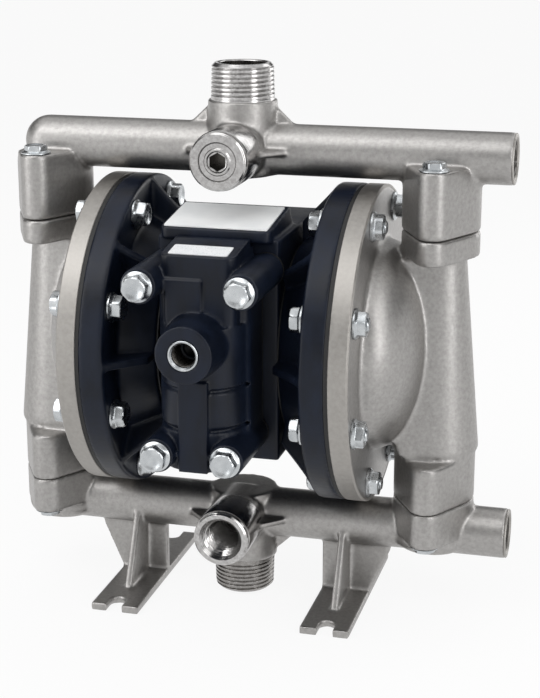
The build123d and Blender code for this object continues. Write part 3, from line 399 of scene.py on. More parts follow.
def shading_group(angle):
    """Geometry nodes that merge loose corners and shade smoothly up to an edge angle."""
    name = f"Smooth below {angle:g} degrees"
    if name in bpy.data.node_groups:
        return bpy.data.node_groups[name]
    tree = bpy.data.node_groups.new(name, "GeometryNodeTree")
    tree.interface.new_socket("Geometry", in_out="INPUT", socket_type="NodeSocketGeometry")
    tree.interface.new_socket("Geometry", in_out="OUTPUT", socket_type="NodeSocketGeometry")
    start = add_node(tree, "NodeGroupInput")
    merged = add_node(
        tree, "GeometryNodeMergeByDistance", {"Geometry": start.outputs[0], "Distance": 1e-6}
    )
    smooth = add_node(
        tree, "GeometryNodeSetShadeSmooth", {"Geometry": merged.outputs[0]}, domain="FACE"
    )
    bend = add_node(tree, "GeometryNodeInputMeshEdgeAngle")
    sharp = add_node(
        tree,
        "FunctionNodeCompare",
        {0: bend.outputs["Unsigned Angle"], 1: math.radians(angle)},
        data_type="FLOAT",
        operation="GREATER_THAN",
    )
    edges = add_node(
        tree,
        "GeometryNodeSetShadeSmooth",
        {"Geometry": smooth.outputs[0], "Selection": sharp.outputs[0], "Shade Smooth": False},
        domain="EDGE",
    )
    add_node(tree, "NodeGroupOutput", {0: edges.outputs[0]})
    return tree


def smooth_faces(piece, angle):
    """Smooth shading below an edge angle, as a modifier, so that no mesh is changed."""
    piece.modifiers.new("Smooth faces", "NODES").node_group = shading_group(angle)


def helix_wave(along, columns, pitch, flat=0.08, root=0.08):
    """V thread from 0 at its crest to 1 at its root: a triangle wave of (along / pitch - t / turn).

    flat and root are the shares of the pitch that the crest and the root keep.
    """
    turn = np.arange(columns)[None, :] / columns
    phase = along[:, None] / pitch - turn
    wave = np.abs(2 * (phase - np.floor(phase)) - 1)
    return np.clip((wave - flat) / (1 - root - flat), 0, 1)


def smooth_step(value):
    """Soft step from 0 to 1: 3 v^2 - 2 v^3 of the clipped value."""
    value = np.clip(value, 0, 1)
    return value * value * (3 - 2 * value)


def male_thread(origin, axis, length, crest, bore, depth, pitch, taper, columns=120):
    """Tapered pipe thread with its bore, as a closed tube.

    Outside radius = crest - taper * along - depth * helix wave, where the wave fades in at the
    hub; the free end is cut back by a 45 degree cone. The inside is a plain bore.
    """
    along = np.linspace(-THREAD_ROOT, length, 210)
    base = crest - taper * np.maximum(along, 0)
    fade = smooth_step((along - mm(0.3)) / pitch)
    radius = base[:, None] - depth * fade[:, None] * helix_wave(along, columns, pitch, flat=0.5)
    cone = crest - mm(1.7) + (length - along)
    radius = np.minimum(radius, cone[:, None])
    inner = np.array([length, length - mm(0.5), -THREAD_ROOT])
    inner_radius = np.array([bore + mm(0.5), bore, bore])
    first = around(origin, axis, along, radius, columns)
    second = around(origin, axis, inner, inner_radius, columns)
    return np.concatenate([first, second]), True


def female_thread(origin, axis, depth_in, mouth, outer, height, pitch, columns=96):
    """Threaded sleeve for a hole: origin on the mouth, axis pointing out of it.

    Inside radius = mouth - height * (1 - helix wave), opened by a 45 degree cone at the mouth;
    the outside is a plain tube of radius outer, hidden in the wall.
    """
    along = np.linspace(0.0, -depth_in, 130)
    radius = mouth - height * (1 - helix_wave(along, columns, pitch))
    cone = mouth + mm(0.5) + along
    radius = np.maximum(radius, cone[:, None])
    outside = np.array([-depth_in, -mm(0.2), 0.0])
    outside_radius = np.array([outer, outer, outer - mm(0.2)])
    first = around(origin, axis, along, radius, columns)
    second = around(origin, axis, outside, outside_radius, columns)
    return np.concatenate([first, second]), True


def turned_shell(origin, axis, profile, columns=128):
    """Closed turned ring: the profile of (along, radius) in millimetres, carried round the axis."""
    profile = mm(profile)
    return around(origin, axis, profile[:, 0], profile[:, 1], columns), True


def ring_rows(table, columns):
    """Rows of (along, radius), each radius one number or one for each column, as two tables."""
    along = np.array([np.full(columns, place) for place, radius in table])
    radius = np.array([np.broadcast_to(radius, (columns,)) for place, radius in table], float)
    return along, radius


def hex_radius(half, columns, spin=0.0):
    """Radius of a hexagon's side at each angle: half / cos(angle from the middle of the side)."""
    turn = np.arange(columns) * TURN / columns + spin
    offset = (turn + math.pi / 6) % (math.pi / 3) - math.pi / 6
    return half / np.cos(offset)


def flanged_bolt(origin, axis, kit, length, threaded, spin=0.0, low=1.0, columns=48):
    """Hex bolt with a flange under its head, a coined cup in its end and a threaded shank.

    Rows run from the tip of the shank to the middle of the cup. The head's radius is the smaller
    of the hexagon's and a cone's, which gives the rounded corners of a cold-headed bolt. low
    is the height of a flatter head as a share of the full one; its hexagon is smaller too.
    """
    head, flange = low * kit.head_height, kit.flange_radius
    half = kit.across_flats / 2 * (0.76 + 0.24 * low)
    shank = kit.shank_radius
    helix = np.linspace(-length + mm(0.6), -length + threaded, max(int(threaded / mm(0.2)), 2))
    turns = shank - mm(0.05) - mm(0.45) * helix_wave(helix, columns, mm(1.0))
    corner = hex_radius(half, columns, spin)
    table = [
        (-length, 0.0),
        (-length, shank - mm(0.7)),
        (-length + mm(0.5), shank - mm(0.2)),
        *zip(helix, turns),
        (-length + threaded + mm(0.3), shank),
        (0.0, shank),
        (0.0, flange - mm(0.25)),
        (low * mm(0.25), flange),
        (low * mm(0.9), flange),
        (low * mm(1.15), flange - mm(0.3)),
        (low * mm(1.65), np.minimum(corner + mm(0.25), flange - mm(0.4))),
        (low * mm(2.0), corner),
        (head - low * mm(1.0), corner),
        (head - low * mm(0.35), np.minimum(corner, half + mm(0.25))),
        (head, np.minimum(corner, half - mm(0.25))),
        (head - mm(0.05), half - mm(0.9)),
        (head - mm(0.45), half - mm(1.5)),
        (head - mm(0.55), mm(1.0)),
        (head - mm(0.5), 0.0),
    ]
    return around(origin, axis, *ring_rows(table, columns), columns), False


def flanged_nut(origin, axis, kit, spin=0.0, columns=48):
    """Hex nut with a washer face, as a closed ring round the bolt's thread."""
    height, flange, half = kit.nut_height, kit.flange_radius, kit.across_flats / 2
    hole = kit.shank_radius - mm(0.02)
    corner = hex_radius(half, columns, spin)
    table = [
        (0.0, hole),
        (0.0, flange - mm(0.2)),
        (mm(0.2), flange),
        (mm(0.9), flange),
        (mm(1.15), flange - mm(0.3)),
        (mm(1.6), np.minimum(corner + mm(0.2), flange - mm(0.4))),
        (mm(1.9), corner),
        (height - mm(0.55), corner),
        (height - mm(0.15), np.minimum(corner, half + mm(0.25))),
        (height, np.minimum(corner, half - mm(0.2))),
        (height, hole + mm(0.6)),
        (height - mm(0.6), hole),
    ]
    return around(origin, axis, *ring_rows(table, columns), columns), True


def flange_spots(x):
    """The eight bolt places on a flange at x, with the angle of each."""
    turns = (np.arange(8) + 0.5) * TURN / 8
    radius = BOLT_CIRCLE_R
    return [((x, radius * math.cos(t), AXIS_Z + radius * math.sin(t)), t) for t in turns]


def merged_copy(node):
    """A CAD node's triangles as an editable mesh with its loose corners merged."""
    shell = bmesh.new()
    shell.from_mesh(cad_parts[node].data)
    bmesh.ops.remove_doubles(shell, verts=shell.verts, dist=1e-6)
    return shell


def cut_end(shell, low, high, place, normal):
    """Cut a hollow end off inside a box of corners low and high, and close the cut's ring."""
    shell.verts.ensure_lookup_table()
    places = np.array([v.co for v in shell.verts])
    inside = np.all((places >= np.asarray(low)) & (places <= np.asarray(high)), axis=1)
    chosen = {shell.verts[i] for i in np.flatnonzero(inside)}
    faces = [f for f in shell.faces if not chosen.isdisjoint(f.verts)]
    edges = {e for f in faces for e in f.edges}
    corners = {v for f in faces for v in f.verts}
    bmesh.ops.bisect_plane(
        shell,
        geom=faces + list(edges) + list(corners),
        plane_co=place,
        plane_no=normal,
        dist=1e-7,
        clear_outer=True,
    )
    open_edges = [e for e in shell.edges if len(e.link_faces) == 1]
    bmesh.ops.bridge_loops(shell, edges=open_edges)


def soft_piece(name, shell, material, node, voxel, passes):
    """Piece from an edited copy of a node: its skin is remeshed and smoothed, as cast or moulded."""
    mesh = bpy.data.meshes.new(name)
    shell.to_mesh(mesh)
    shell.free()
    piece = finish_piece(name, mesh, material, HOUSING)
    skin = piece.modifiers.new("Skin", "REMESH")
    skin.mode = "VOXEL"
    skin.voxel_size = voxel
    skin.use_smooth_shade = True
    soft = piece.modifiers.new("Soft corners", "SMOOTH")
    soft.factor = 0.5
    soft.iterations = passes
    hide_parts(node)
    return piece


# Settings


class PumpCastingSettings(bpy.types.PropertyGroup):
    voxel: FloatProperty(
        name="Skin size", description="Size of the cast skin's faces", default=0.0008, unit="LENGTH"
    )
    passes: IntProperty(
        name="Corner passes", description="How far the cast corners are rounded", default=7, min=0
    )
    grain: FloatProperty(
        name="Blasting grain", description="Size of the dents that blasting leaves", default=0.0007,
        unit="LENGTH",
    )
    light: StringProperty(
        name="Light tone", description="sRGB hex of the lighter metal", default="ADABA9"
    )
    dark: StringProperty(
        name="Dark tone", description="sRGB hex of the darker metal", default="9B9997"
    )


class PumpThreadSettings(bpy.types.PropertyGroup):
    pitch: FloatProperty(
        name="Pitch", description="Pitch of the 14 per inch pipe thread", default=0.001814,
        unit="LENGTH",
    )
    depth: FloatProperty(
        name="Depth", description="Depth of the thread from crest to root", default=0.00065,
        unit="LENGTH",
    )
    taper: FloatProperty(
        name="Taper", description="Radius lost for each unit of length", default=0.03125
    )
    crest: FloatProperty(
        name="Crest radius", description="Outside radius next to the hub", default=0.01335,
        unit="LENGTH",
    )


class PumpFastenerSettings(bpy.types.PropertyGroup):
    across_flats: FloatProperty(
        name="Across flats", description="Width of the hexagons", default=0.0094, unit="LENGTH"
    )
    flange_radius: FloatProperty(
        name="Flange radius", description="Radius of the flange under heads and nuts",
        default=0.0062, unit="LENGTH",
    )
    head_height: FloatProperty(
        name="Head height", description="Height of a head with its flange", default=0.0056,
        unit="LENGTH",
    )
    nut_height: FloatProperty(
        name="Nut height", description="Height of a nut with its flange", default=0.005,
        unit="LENGTH",
    )
    shank_radius: FloatProperty(
        name="Shank radius", description="Radius of the bolts", default=0.00298, unit="LENGTH"
    )


class PumpPolymerSettings(bpy.types.PropertyGroup):
    voxel: FloatProperty(
        name="Skin size", description="Size of the moulded skin's faces", default=0.00073,
        unit="LENGTH",
    )
    passes: IntProperty(
        name="Corner passes", description="How far the moulded corners are rounded", default=4,
        min=0,
    )
    grain: FloatProperty(
        name="Mould grain", description="Size of the grain from the mould", default=0.0008,
        unit="LENGTH",
    )
    light: StringProperty(
        name="Light tone", description="sRGB hex of the paler flow marks", default="131B2B"
    )
    dark: StringProperty(
        name="Dark tone", description="sRGB hex of the black polymer", default="080C15"
    )


class PumpStageSettings(bpy.types.PropertyGroup):
    camera_place: FloatVectorProperty(
        name="Camera place", description="Where the camera stands",
        default=(0.1883, -0.6642, 0.3082), subtype="TRANSLATION", unit="LENGTH",
    )
    lens: FloatProperty(
        name="Lens", description="Focal length in millimetres on a 36 mm sensor", default=85.63
    )
    lamp_level: FloatProperty(
        name="Lamp level", description="Share of full lamp power", default=1.0, min=0.0
    )
    walls: FloatVectorProperty(
        name="Wall greys", description="Brightness of the front and back walls",
        default=(0.38, 0.05), size=2,
    )
    ceiling: FloatProperty(name="Ceiling", description="Brightness of the ceiling", default=0.92)


# Pieces


def material_kit():
    """All the pump's finishes, made once and kept by name."""
    casting = bpy.context.scene.pump_casting
    polymer = bpy.context.scene.pump_polymer
    metal = ("C2C1C0", "A5A3A2")
    makers = {
        "Bead blasted stainless": lambda n: bead_blasted_stainless(
            n, casting.light, casting.dark, casting.grain
        ),
        "Turned stainless X": lambda n: turned_stainless(
            n, (0, 0, AXIS_Z), "X", "A9A6A2", "9B9894", rough=0.46
        ),
        "Turned stainless Y": lambda n: turned_stainless(
            n, (0, 0, OUTLET_Z), "Y", *metal, rough=0.16
        ),
        "Turned stainless Y low": lambda n: turned_stainless(
            n, (0, 0, INLET_Z), "Y", *metal, rough=0.16
        ),
        "Turned stainless Z": lambda n: turned_stainless(n, (0, 0, 0), "Z", *metal, rough=0.2),
        # darker copy of the turned steel for the lower thread near the floor: painted shade
        "Turned stainless Z with painted shade": lambda n: turned_stainless(
            n, (0, 0, 0), "Z", "A19F9D", "84817E", rough=0.24
        ),
        # darker steel for bores, sockets and threads inside holes: painted shade of the hollows
        "Bore steel with painted shade": lambda n: plain_moulded(n, "5E5B57", "454340", 0.3, metallic=1.0),
        "Bright zinc": lambda n: bright_zinc(n, "CDD0D2", "AEB2B5"),
        "Glass filled nylon": lambda n: glass_filled_nylon(
            n, polymer.light, polymer.dark, polymer.grain
        ),
        "Black rubber": lambda n: plain_moulded(n, "1A1A1A", "101010", 0.6),
        "White fluoropolymer": lambda n: plain_moulded(n, "EFEFEA", "E2E2DC", 0.35, ior=1.35),
        "Bearing plastic": lambda n: plain_moulded(n, "D6CBA8", "C4B893", 0.4),
        "Brushed plate": lambda n: brushed_plate(n, "F1F2F2", "E2E4E5"),
        "Label film": lambda n: plain_moulded(n, "ECEDEE", "DFE2E4", 0.3),
    }

    def kit(name):
        return bpy.data.materials.get(name) or makers[name](name)

    return kit


class PUMP_OT_castings(bpy.types.Operator):
    """Outlet and inlet castings and the two liquid caps, with cast corners"""

    bl_idname = "pump.castings"
    bl_label = "Castings"

    def execute(self, context):
        kit = material_kit()
        casting = context.scene.pump_casting
        blasted = kit("Bead blasted stainless")
        reach = mm(15.0)
        for name, height, up, mouth_x, end_x in (
            ("outlet", OUTLET_Z, 1, mm(99), OUTLET_END_X),
            ("inlet", INLET_Z, -1, mm(102), INLET_END_X),
        ):
            shell = merged_copy(f"{name}_manifold")
            low, high = sorted((height, height + up * mm(60)))
            # the port thread, the pipe's turned mouth and the open front port are pieces of their own
            cut_end(
                shell, (-reach, -reach, low), (reach, reach, high),
                (0, 0, height + up * (HUB_REACH - mm(0.1))), (0, 0, up),
            )
            cut_end(
                shell, (mouth_x, -reach, height - reach), (end_x + reach, reach, height + reach),
                (end_x - mm(0.4), 0, 0), (1, 0, 0),
            )
            if name == "inlet":
                cut_end(
                    shell, (-reach, FRONT_HUB_Y - reach, height - reach),
                    (reach, FRONT_HUB_Y + mm(1), height + reach),
                    (0, FRONT_HUB_Y + mm(2.6), 0), (0, -1, 0),
                )
            soft_piece(
                f"{name}_casting", shell, blasted, f"{name}_manifold", casting.voxel, casting.passes
            )
        for _, name in SIDES:
            cap = merged_copy(f"fluid_cap_{name}")
            soft_piece(
                f"liquid_cap_{name}", cap, blasted, f"fluid_cap_{name}", casting.voxel * 1.15,
                casting.passes,
            )
        return {"FINISHED"}


class PUMP_OT_rims(bpy.types.Operator):
    """Turned edges of the two liquid caps"""

    bl_idname = "pump.rims"
    bl_label = "Turned rims"

    def execute(self, context):
        kit = material_kit()
        profile = [
            (52.05, 65.6),
            (52.05, 66.75),
            (52.30, 67.0),
            (59.45, 67.0),
            (60.12, 66.33),
            (60.12, 65.6),
        ]
        for side, name in SIDES:
            make_piece(
                f"turned_rim_{name}",
                [turned_shell((0, 0, AXIS_Z), (side, 0, 0), profile, columns=240)],
                kit("Turned stainless X"),
            )
        return {"FINISHED"}


class PUMP_OT_port_threads(bpy.types.Operator):
    """Male pipe threads above and below"""

    bl_idname = "pump.port_threads"
    bl_label = "Port threads"

    def execute(self, context):
        kit = material_kit()
        thread = context.scene.pump_thread
        start = OUTLET_Z + HUB_REACH
        length = TOP_Z - start
        bore = mm(9.5)
        wall = mm(0.5)
        for name, origin, axis, finish in (
            ("outlet_thread", (0, 0, start), (0, 0, 1), "Turned stainless Z"),
            # the lower thread takes the darker copy of the turned steel, which paints its shade
            ("inlet_thread", (0, 0, INLET_Z - HUB_REACH), (0, 0, -1), "Turned stainless Z with painted shade"),
        ):
            make_piece(
                name,
                [
                    male_thread(
                        origin, axis, length, thread.crest, bore + wall, thread.depth, thread.pitch,
                        thread.taper,
                    )
                ],
                kit(finish),
                smooth_angle=50.0,
            )
            # the bore is lined with the darker bore steel: painted shade
            ends = np.array([length - wall, length - wall, -THREAD_ROOT, -THREAD_ROOT])
            walls = np.array([bore, bore + wall, bore + wall, bore])
            make_piece(
                f"{name}_bore", [(around(origin, axis, ends, walls, 96), True)], kit("Bore steel with painted shade")
            )
        return {"FINISHED"}


class PUMP_OT_front_ports(bpy.types.Operator):
    """Turned front hubs, the plug in the upper one and the thread in the lower one"""

    bl_idname = "pump.front_ports"
    bl_label = "Front ports"

    def execute(self, context):
        kit = material_kit()
        upper = (0, FRONT_HUB_Y, OUTLET_Z)
        lower = (0, FRONT_HUB_Y, INLET_Z)
        for name, origin, mouth, throat, deep, finish in (
            ("outlet_front_hub", upper, 8.1, 7.8, -0.4, "Turned stainless Y"),
            ("inlet_front_hub", lower, 9.4, 8.2, -1.5, "Turned stainless Y low"),
        ):
            hub = [
                (-22.0, 11.6),
                (-22.0, 12.25),
                (-3.4, 12.25),
                (-3.0, 12.0),
                (-3.0, 11.8),
                (-0.7, 11.8),
                (0.0, 11.1),
                (0.0, mouth),
                (deep, throat),
                (-3.0, throat),
                (-3.2, 8.8),
                (-12.0, 8.8),
            ]
            make_piece(name, [turned_shell(origin, (0, -1, 0), hub)], kit(finish))
        thread = context.scene.pump_thread
        make_piece(
            "inlet_front_thread",
            [
                female_thread(
                    (0, FRONT_HUB_Y + mm(1.7), INLET_Z), (0, -1, 0), mm(25.0), mm(7.95), mm(8.4),
                    mm(0.9), thread.pitch,
                )
            ],
            kit("Turned stainless Y low"),
            smooth_angle=50.0,
        )
        columns = 72
        hexagon = hex_radius(3.3, columns)
        rows = [
            (-9.2, 0.0),
            (-9.2, 4.6),
            (-19.0, 4.6),
            (-19.0, 7.6),
            (-0.8, 7.75),
            (-0.5, 7.5),
            (-0.5, 5.7),
            (-0.2, 5.4),
            (0.0, 5.2),
            (0.0, 4.5),
            (-0.7, 4.0),
            (-0.8, hexagon),
            (-1.2, hexagon),
            (-1.2, 4.05),
            (-9.0, 4.05),
            (-9.0, 0.0),
        ]
        plug = make_piece(
            "socket_plug",
            [(around(upper, (0, -1, 0), *mm(ring_rows(rows, columns)), columns), False)],
            kit("Turned stainless Y"),
        )
        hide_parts("outlet_port_plug")
        # liner of the hexagon socket, in the darker bore steel that paints the socket's shade
        rows = [(-8.9, 0.0), (-8.9, 4.0), (-1.25, 4.0), (-1.25, hexagon), (-7.5, hexagon), (-7.5, 0.0)]
        make_piece(
            "plug_socket",
            [(around(upper, (0, -1, 0), *mm(ring_rows(rows, columns)), columns), False)],
            kit("Bore steel with painted shade"),
        )
        return {"FINISHED"}


class PUMP_OT_pipe_ends(bpy.types.Operator):
    """Turned and threaded mouths of the two open pipe ends"""

    bl_idname = "pump.pipe_ends"
    bl_label = "Pipe ends"

    def execute(self, context):
        kit = material_kit()
        ring = [
            (-12.0, 8.9),
            (-0.9, 10.2),
            (-0.5, 10.55),
            (0.0, 10.2),
            (0.0, 8.9),
            (-0.7, 8.35),
        ]
        for name, end_x, height in (
            ("outlet_pipe_mouth", OUTLET_END_X, OUTLET_Z),
            ("inlet_pipe_mouth", INLET_END_X, INLET_Z),
        ):
            origin = (end_x, 0, height)
            make_piece(name, [turned_shell(origin, (1, 0, 0), ring)], kit("Turned stainless X"))
            # the thread inside the mouth takes the darker bore steel: painted shade
            make_piece(
                f"{name}_thread",
                [
                    female_thread(
                        (end_x - mm(0.6), 0, height), (1, 0, 0), mm(13.0), mm(8.5), mm(8.95),
                        mm(0.8), SMALL_PITCH,
                    )
                ],
                kit("Bore steel with painted shade"),
                smooth_angle=50.0,
            )
        return {"FINISHED"}


class PUMP_OT_air_motor(bpy.types.Operator):
    """Moulded air caps, centre body and valve block"""

    bl_idname = "pump.air_motor"
    bl_label = "Air motor"

    def execute(self, context):
        kit = material_kit()
        polymer = context.scene.pump_polymer
        nylon = kit("Glass filled nylon")
        for node, share in (
            ("air_cap_left", 1.0), ("air_cap_right", 1.0), ("center_body", 1.0), ("valve_block", 0.8),
        ):
            soft_piece(
                f"{node}_moulding", merged_copy(node), nylon, node, share * polymer.voxel,
                round(share * polymer.passes),
            )
        return {"FINISHED"}


class PUMP_OT_fasteners(bpy.types.Operator):
    """All the flanged hex bolts and nuts that show"""

    bl_idname = "pump.fasteners"
    bl_label = "Fasteners"

    def execute(self, context):
        kit = material_kit()
        sizes = context.scene.pump_fastener
        zinc = kit("Bright zinc")
        for side, name in SIDES:
            seat = side * BOLT_HEAD_X
            nut_seat = side * BOLT_NUT_X
            length = abs(nut_seat - seat) + sizes.nut_height + mm(1.0)
            bolts = [
                flanged_bolt(spot, (-side, 0, 0), sizes, length, mm(10.0), spin=0.4 * turn)
                for spot, turn in flange_spots(seat)
            ]
            heads = make_piece(f"flange_bolt_set_{name}", bolts, zinc)
            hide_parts(f"flange_bolts_{name}")
            nuts = [
                flanged_nut(spot, (side, 0, 0), sizes, spin=0.7 * turn)
                for spot, turn in flange_spots(nut_seat)
            ]
            nut_piece = make_piece(f"flange_nut_set_{name}", nuts, zinc)
            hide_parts(f"flange_nuts_{name}")
        corners = [(s * COLUMN_X, y) for s, _ in SIDES for y in (-JOINT_BOLT_Y, JOINT_BOLT_Y)]
        outlet_seat = OUTLET_Z - mm(2.6)
        outlet_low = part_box("outlet_manifold_bolts")[0].z
        upper = [
            flanged_bolt(
                (x, y, outlet_seat), (0, 0, 1), sizes, outlet_seat - outlet_low, mm(8.0), spin=0.3,
                low=0.64,
            )
            for x, y in corners
        ]
        piece = make_piece("outlet_bolt_set", upper, zinc)
        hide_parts("outlet_manifold_bolts")
        inlet_seat = INLET_Z - mm(0.5)
        inlet_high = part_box("inlet_manifold_bolts")[1].z
        lower = [
            flanged_bolt(
                (x, y, inlet_seat), (0, 0, -1), sizes, inlet_high - inlet_seat, mm(10.0), spin=0.5,
                low=0.46,
            )
            for x, y in corners
        ]
        piece = make_piece("inlet_bolt_set", lower, zinc)
        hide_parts("inlet_manifold_bolts")
        block_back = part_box("valve_block_bolts")[1].y
        places = [
            (-20.4, 38.0, 0.25),
            (20.4, 38.0, 0.75),
            (-14.35, -30.5, 0.1),
            (14.35, -30.5, 0.55),
        ]
        front = [
            flanged_bolt(
                (mm(x), BLOCK_BOLT_Y, AXIS_Z + mm(z)), (0, -1, 0), sizes, block_back - BLOCK_BOLT_Y,
                mm(10.0), spin=spin,
            )
            for x, z, spin in places
        ]
        piece = make_piece("valve_block_bolt_set", front, zinc)
        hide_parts("valve_block_bolts")
        return {"FINISHED"}


class PUMP_OT_air_inlet(bpy.types.Operator):
    """Threaded metal insert in the air inlet"""

    bl_idname = "pump.air_inlet"
    bl_label = "Air inlet"

    def execute(self, context):
        kit = material_kit()
        origin = (0, AIR_FACE_Y, AIR_AXIS_Z)
        ring = [(-2.0, 4.75), (-2.0, 6.1), (-0.2, 6.1), (0.0, 5.9), (0.0, 5.4), (-0.9, 4.75)]
        make_piece("air_inlet_ring", [turned_shell(origin, (0, -1, 0), ring)], kit("Bright zinc"))
        # the thread inside the ring takes the darker bore steel: painted shade
        insert = make_piece(
            "air_inlet_thread",
            [
                female_thread(
                    (0, AIR_FACE_Y + mm(1.5), AIR_AXIS_Z), (0, -1, 0), mm(10.7), mm(5.0), mm(6.0),
                    mm(0.5), SMALL_PITCH,
                )
            ],
            kit("Bore steel with painted shade"),
            smooth_angle=50.0,
        )
        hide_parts("air_inlet_insert")
        return {"FINISHED"}


class PUMP_OT_plates(bpy.types.Operator):
    """Bare plate on the deck and bare label on the valve block"""

    bl_idname = "pump.plates"
    bl_label = "Plates"

    def execute(self, context):
        kit = material_kit()
        for node, finish in (("nameplate", "Brushed plate"), ("front_label", "Label film")):
            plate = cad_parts[node]
            plate.data.materials.clear()
            plate.data.materials.append(kit(finish))
            smooth_faces(plate, 25.0)
        return {"FINISHED"}


class PUMP_OT_inner_parts(bpy.types.Operator):
    """Finishes of the parts inside: rod, washers, balls, seats, seals, spool and gaskets"""

    bl_idname = "pump.inner_parts"
    bl_label = "Inner parts"

    def execute(self, context):
        kit = material_kit()
        finishes = {
            "Turned stainless X": (
                "connecting_rod", "pilot_rod", "inner_washer_left", "inner_washer_right",
                "outer_washer_left", "outer_washer_right",
            ),
            "Turned stainless Z": (
                "outlet_seat_left", "outlet_seat_right", "inlet_seat_left", "inlet_seat_right",
                "spool", "valve_sleeve",
            ),
            "Bright zinc": (
                "diaphragm_screw_left", "diaphragm_screw_right", "air_cap_screws_left",
                "air_cap_screws_right",
            ),
            "Black rubber": (
                "diaphragm_left", "diaphragm_right", "air_cap_gasket_left", "air_cap_gasket_right",
                "valve_block_gasket", "rod_seals", "outlet_seat_rings", "inlet_seat_rings",
            ),
            "White fluoropolymer": (
                "outlet_ball_left", "outlet_ball_right", "inlet_ball_left", "inlet_ball_right",
            ),
            "Bearing plastic": ("rod_bushings",),
            "Glass filled nylon": ("spool_end_cap",),
        }
        for finish, nodes in finishes.items():
            for node in nodes:
                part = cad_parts[node]
                part.data.materials.clear()
                part.data.materials.append(kit(finish))
                smooth_faces(part, 30.0)
        return {"FINISHED"}


# Stage


def stage_plane(name, size, centre, material):
    """Flat square that isn't part of the pump."""
    half = size / 2
    corners = np.array([(-half, -half, 0), (half, -half, 0), (half, half, 0), (-half, half, 0)])
    mesh = bpy.data.meshes.new(name)
    mesh.from_pydata((corners + np.asarray(centre)).tolist(), [], [(0, 1, 2, 3)])
    mesh.materials.append(material)
    plane = bpy.data.objects.new(name, mesh)
    bpy.context.scene.collection.objects.link(plane)
    return plane


def background_rays(tree):
    """1 for rays that show the background: straight ones, mirrored ones and ones through glass."""
    path = add_node(tree, "ShaderNodeLightPath")
    shown = add_node(
        tree,
        "ShaderNodeMath",
        {0: path.outputs["Is Camera Ray"], 1: path.outputs["Is Glossy Ray"]},
        operation="MAXIMUM",
    )
    shown = add_node(
        tree,
        "ShaderNodeMath",
        {0: shown.outputs[0], 1: path.outputs["Is Transmission Ray"]},
        operation="MAXIMUM",
    )
    return shown.outputs[0]


def grey_ramp(tree, height, wall, ceiling):
    """Grey by the height of a direction: white paper low down, then a wall, then the ceiling."""
    ramp = add_node(tree, "ShaderNodeValToRGB", {"Fac": height})
    stops = ((0.0, 1.0), (0.12, 1.0), (0.22, wall), (0.55, wall), (0.74, ceiling), (1.0, ceiling))
    elements = ramp.color_ramp.elements
    while len(elements) < len(stops):
        elements.new(0.5)
    for element, (place, grey) in zip(elements, stops):
        element.position = place
        element.color = (grey, grey, grey, 1.0)
    return ramp.outputs["Color"]


def soft_lamp(name, place, target, size, power):
    """Soft box of a width and height at a place, facing a target."""
    lamp = bpy.data.lights.new(name, "AREA")
    lamp.shape = "RECTANGLE"
    lamp.size, lamp.size_y = size
    lamp.energy = power
    box = bpy.data.objects.new(name, lamp)
    box.location = place
    box.rotation_euler = (Vector(target) - Vector(place)).to_track_quat("-Z", "Y").to_euler()
    bpy.context.scene.collection.objects.link(box)
    return box


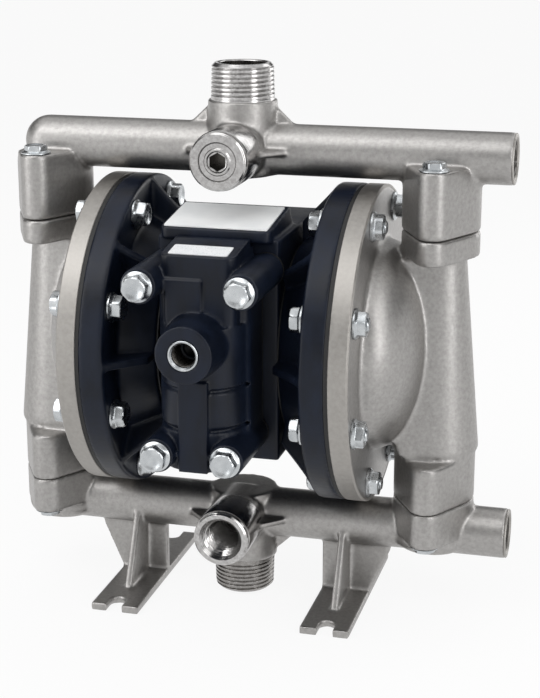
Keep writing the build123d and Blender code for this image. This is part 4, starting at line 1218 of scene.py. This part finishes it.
class PUMP_OT_stage(bpy.types.Operator):
    """Pale floor, soft studio light and the camera at the photograph's angle"""

    bl_idname = "pump.stage"
    bl_label = "Stage"

    def execute(self, context):
        scene = context.scene
        stage = scene.pump_stage
        scene.view_settings.view_transform = "Standard"
        # white paper floor: eyes and mirrors see it nearly white, with the pump's soft shadow
        material, tree, output = new_material("White paper")
        paper = add_node(tree, "ShaderNodeBsdfDiffuse", {"Color": linear("E0E0E0")})
        glow = add_node(tree, "ShaderNodeEmission", {"Color": (1, 1, 1, 1), "Strength": 1.0})
        pale = add_node(tree, "ShaderNodeMixShader", {0: 0.9, 1: paper.outputs[0], 2: glow.outputs[0]})
        shown = add_node(
            tree,
            "ShaderNodeMixShader",
            {0: background_rays(tree), 1: paper.outputs[0], 2: pale.outputs[0]},
        )
        tree.links.new(shown.outputs[0], output.inputs["Surface"])
        stage_plane("paper_floor", 8.0, (0, 0, -0.0002), material)
        # studio room: white paper up to the horizon, dark walls, a bright ceiling
        world = bpy.data.worlds.new("Studio")
        scene.world = world
        world.use_nodes = True
        tree = world.node_tree
        tree.nodes.clear()
        output = add_node(tree, "ShaderNodeOutputWorld")
        coords = add_node(tree, "ShaderNodeTexCoord")
        split = add_node(tree, "ShaderNodeSeparateXYZ", {0: coords.outputs["Generated"]})
        behind = between(tree, split.outputs["Y"], 0.0, 1.0, -0.3, 0.3)
        front_wall = grey_ramp(tree, split.outputs["Z"], stage.walls[0], stage.ceiling)
        back_wall = grey_ramp(tree, split.outputs["Z"], stage.walls[1], stage.ceiling)
        room = add_node(
            tree, "ShaderNodeMix", {0: behind, 6: front_wall, 7: back_wall}, data_type="RGBA"
        )
        studio = add_node(
            tree, "ShaderNodeBackground", {"Color": room.outputs[2], "Strength": 1.0}
        )
        tree.links.new(studio.outputs[0], output.inputs["Surface"])
        # softboxes that stand on the floor give the upright stripes in turned metal
        middle = (0, 0, AXIS_Z)
        level = stage.lamp_level
        for name, place, size, power in (
            ("Left softbox", (-0.53, -0.46, 0.42), (0.42, 0.84), 2.3),
            ("Right softbox", (0.62, -0.38, 0.40), (0.24, 0.80), 2.0),
            ("Back softbox", (0.42, 0.62, 0.45), (0.30, 0.80), 1.6),
            ("Top softbox", (-0.25, -0.45, 1.0), (0.7, 0.7), 2.6),
        ):
            soft_lamp(name, place, middle, size, power * level)
        lens = bpy.data.cameras.new("Camera")
        lens.lens = stage.lens
        lens.sensor_width = 36.0
        lens.clip_start = 0.01
        camera = bpy.data.objects.new("Camera", lens)
        # where the view's right, up and back point, solved from the flanges and the pipes
        right, up, back = (0.9664, 0.2571, 0.0), (-0.0710, 0.2670, 0.9611), (0.2471, -0.9288, 0.2763)
        view = Matrix((right, up, back)).transposed().to_4x4()
        view.translation = stage.camera_place
        camera.matrix_world = view
        scene.collection.objects.link(camera)
        scene.camera = camera
        return {"FINISHED"}


class PUMP_PT_panel(bpy.types.Panel):
    bl_label = "Diaphragm pump"
    bl_idname = "PUMP_PT_panel"
    bl_space_type = "VIEW_3D"
    bl_region_type = "UI"
    bl_category = "Pump"

    def draw(self, context):
        layout = self.layout
        for operator in OPERATORS:
            layout.operator(operator.bl_idname)
        for group, settings in SETTINGS:
            box = layout.box()
            for name in settings.__annotations__:
                box.prop(getattr(context.scene, group), name)


OPERATORS = (
    PUMP_OT_castings,
    PUMP_OT_rims,
    PUMP_OT_port_threads,
    PUMP_OT_front_ports,
    PUMP_OT_pipe_ends,
    PUMP_OT_air_motor,
    PUMP_OT_fasteners,
    PUMP_OT_air_inlet,
    PUMP_OT_plates,
    PUMP_OT_inner_parts,
    PUMP_OT_stage,
)
SETTINGS = (
    ("pump_casting", PumpCastingSettings),
    ("pump_thread", PumpThreadSettings),
    ("pump_fastener", PumpFastenerSettings),
    ("pump_polymer", PumpPolymerSettings),
    ("pump_stage", PumpStageSettings),
)


def register():
    for name, settings in SETTINGS:
        bpy.utils.register_class(settings)
        setattr(bpy.types.Scene, name, PointerProperty(type=settings))
    for operator in OPERATORS:
        bpy.utils.register_class(operator)
    bpy.utils.register_class(PUMP_PT_panel)


def unregister():
    bpy.utils.unregister_class(PUMP_PT_panel)
    for operator in reversed(OPERATORS):
        bpy.utils.unregister_class(operator)
    for name, settings in reversed(SETTINGS):
        delattr(bpy.types.Scene, name)
        bpy.utils.unregister_class(settings)


def main():
    """Register the add-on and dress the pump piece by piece."""
    register()
    for operator in OPERATORS:
        group, name = operator.bl_idname.split(".")
        getattr(getattr(bpy.ops, group), name)()


if __name__ == "__main__":
    main()
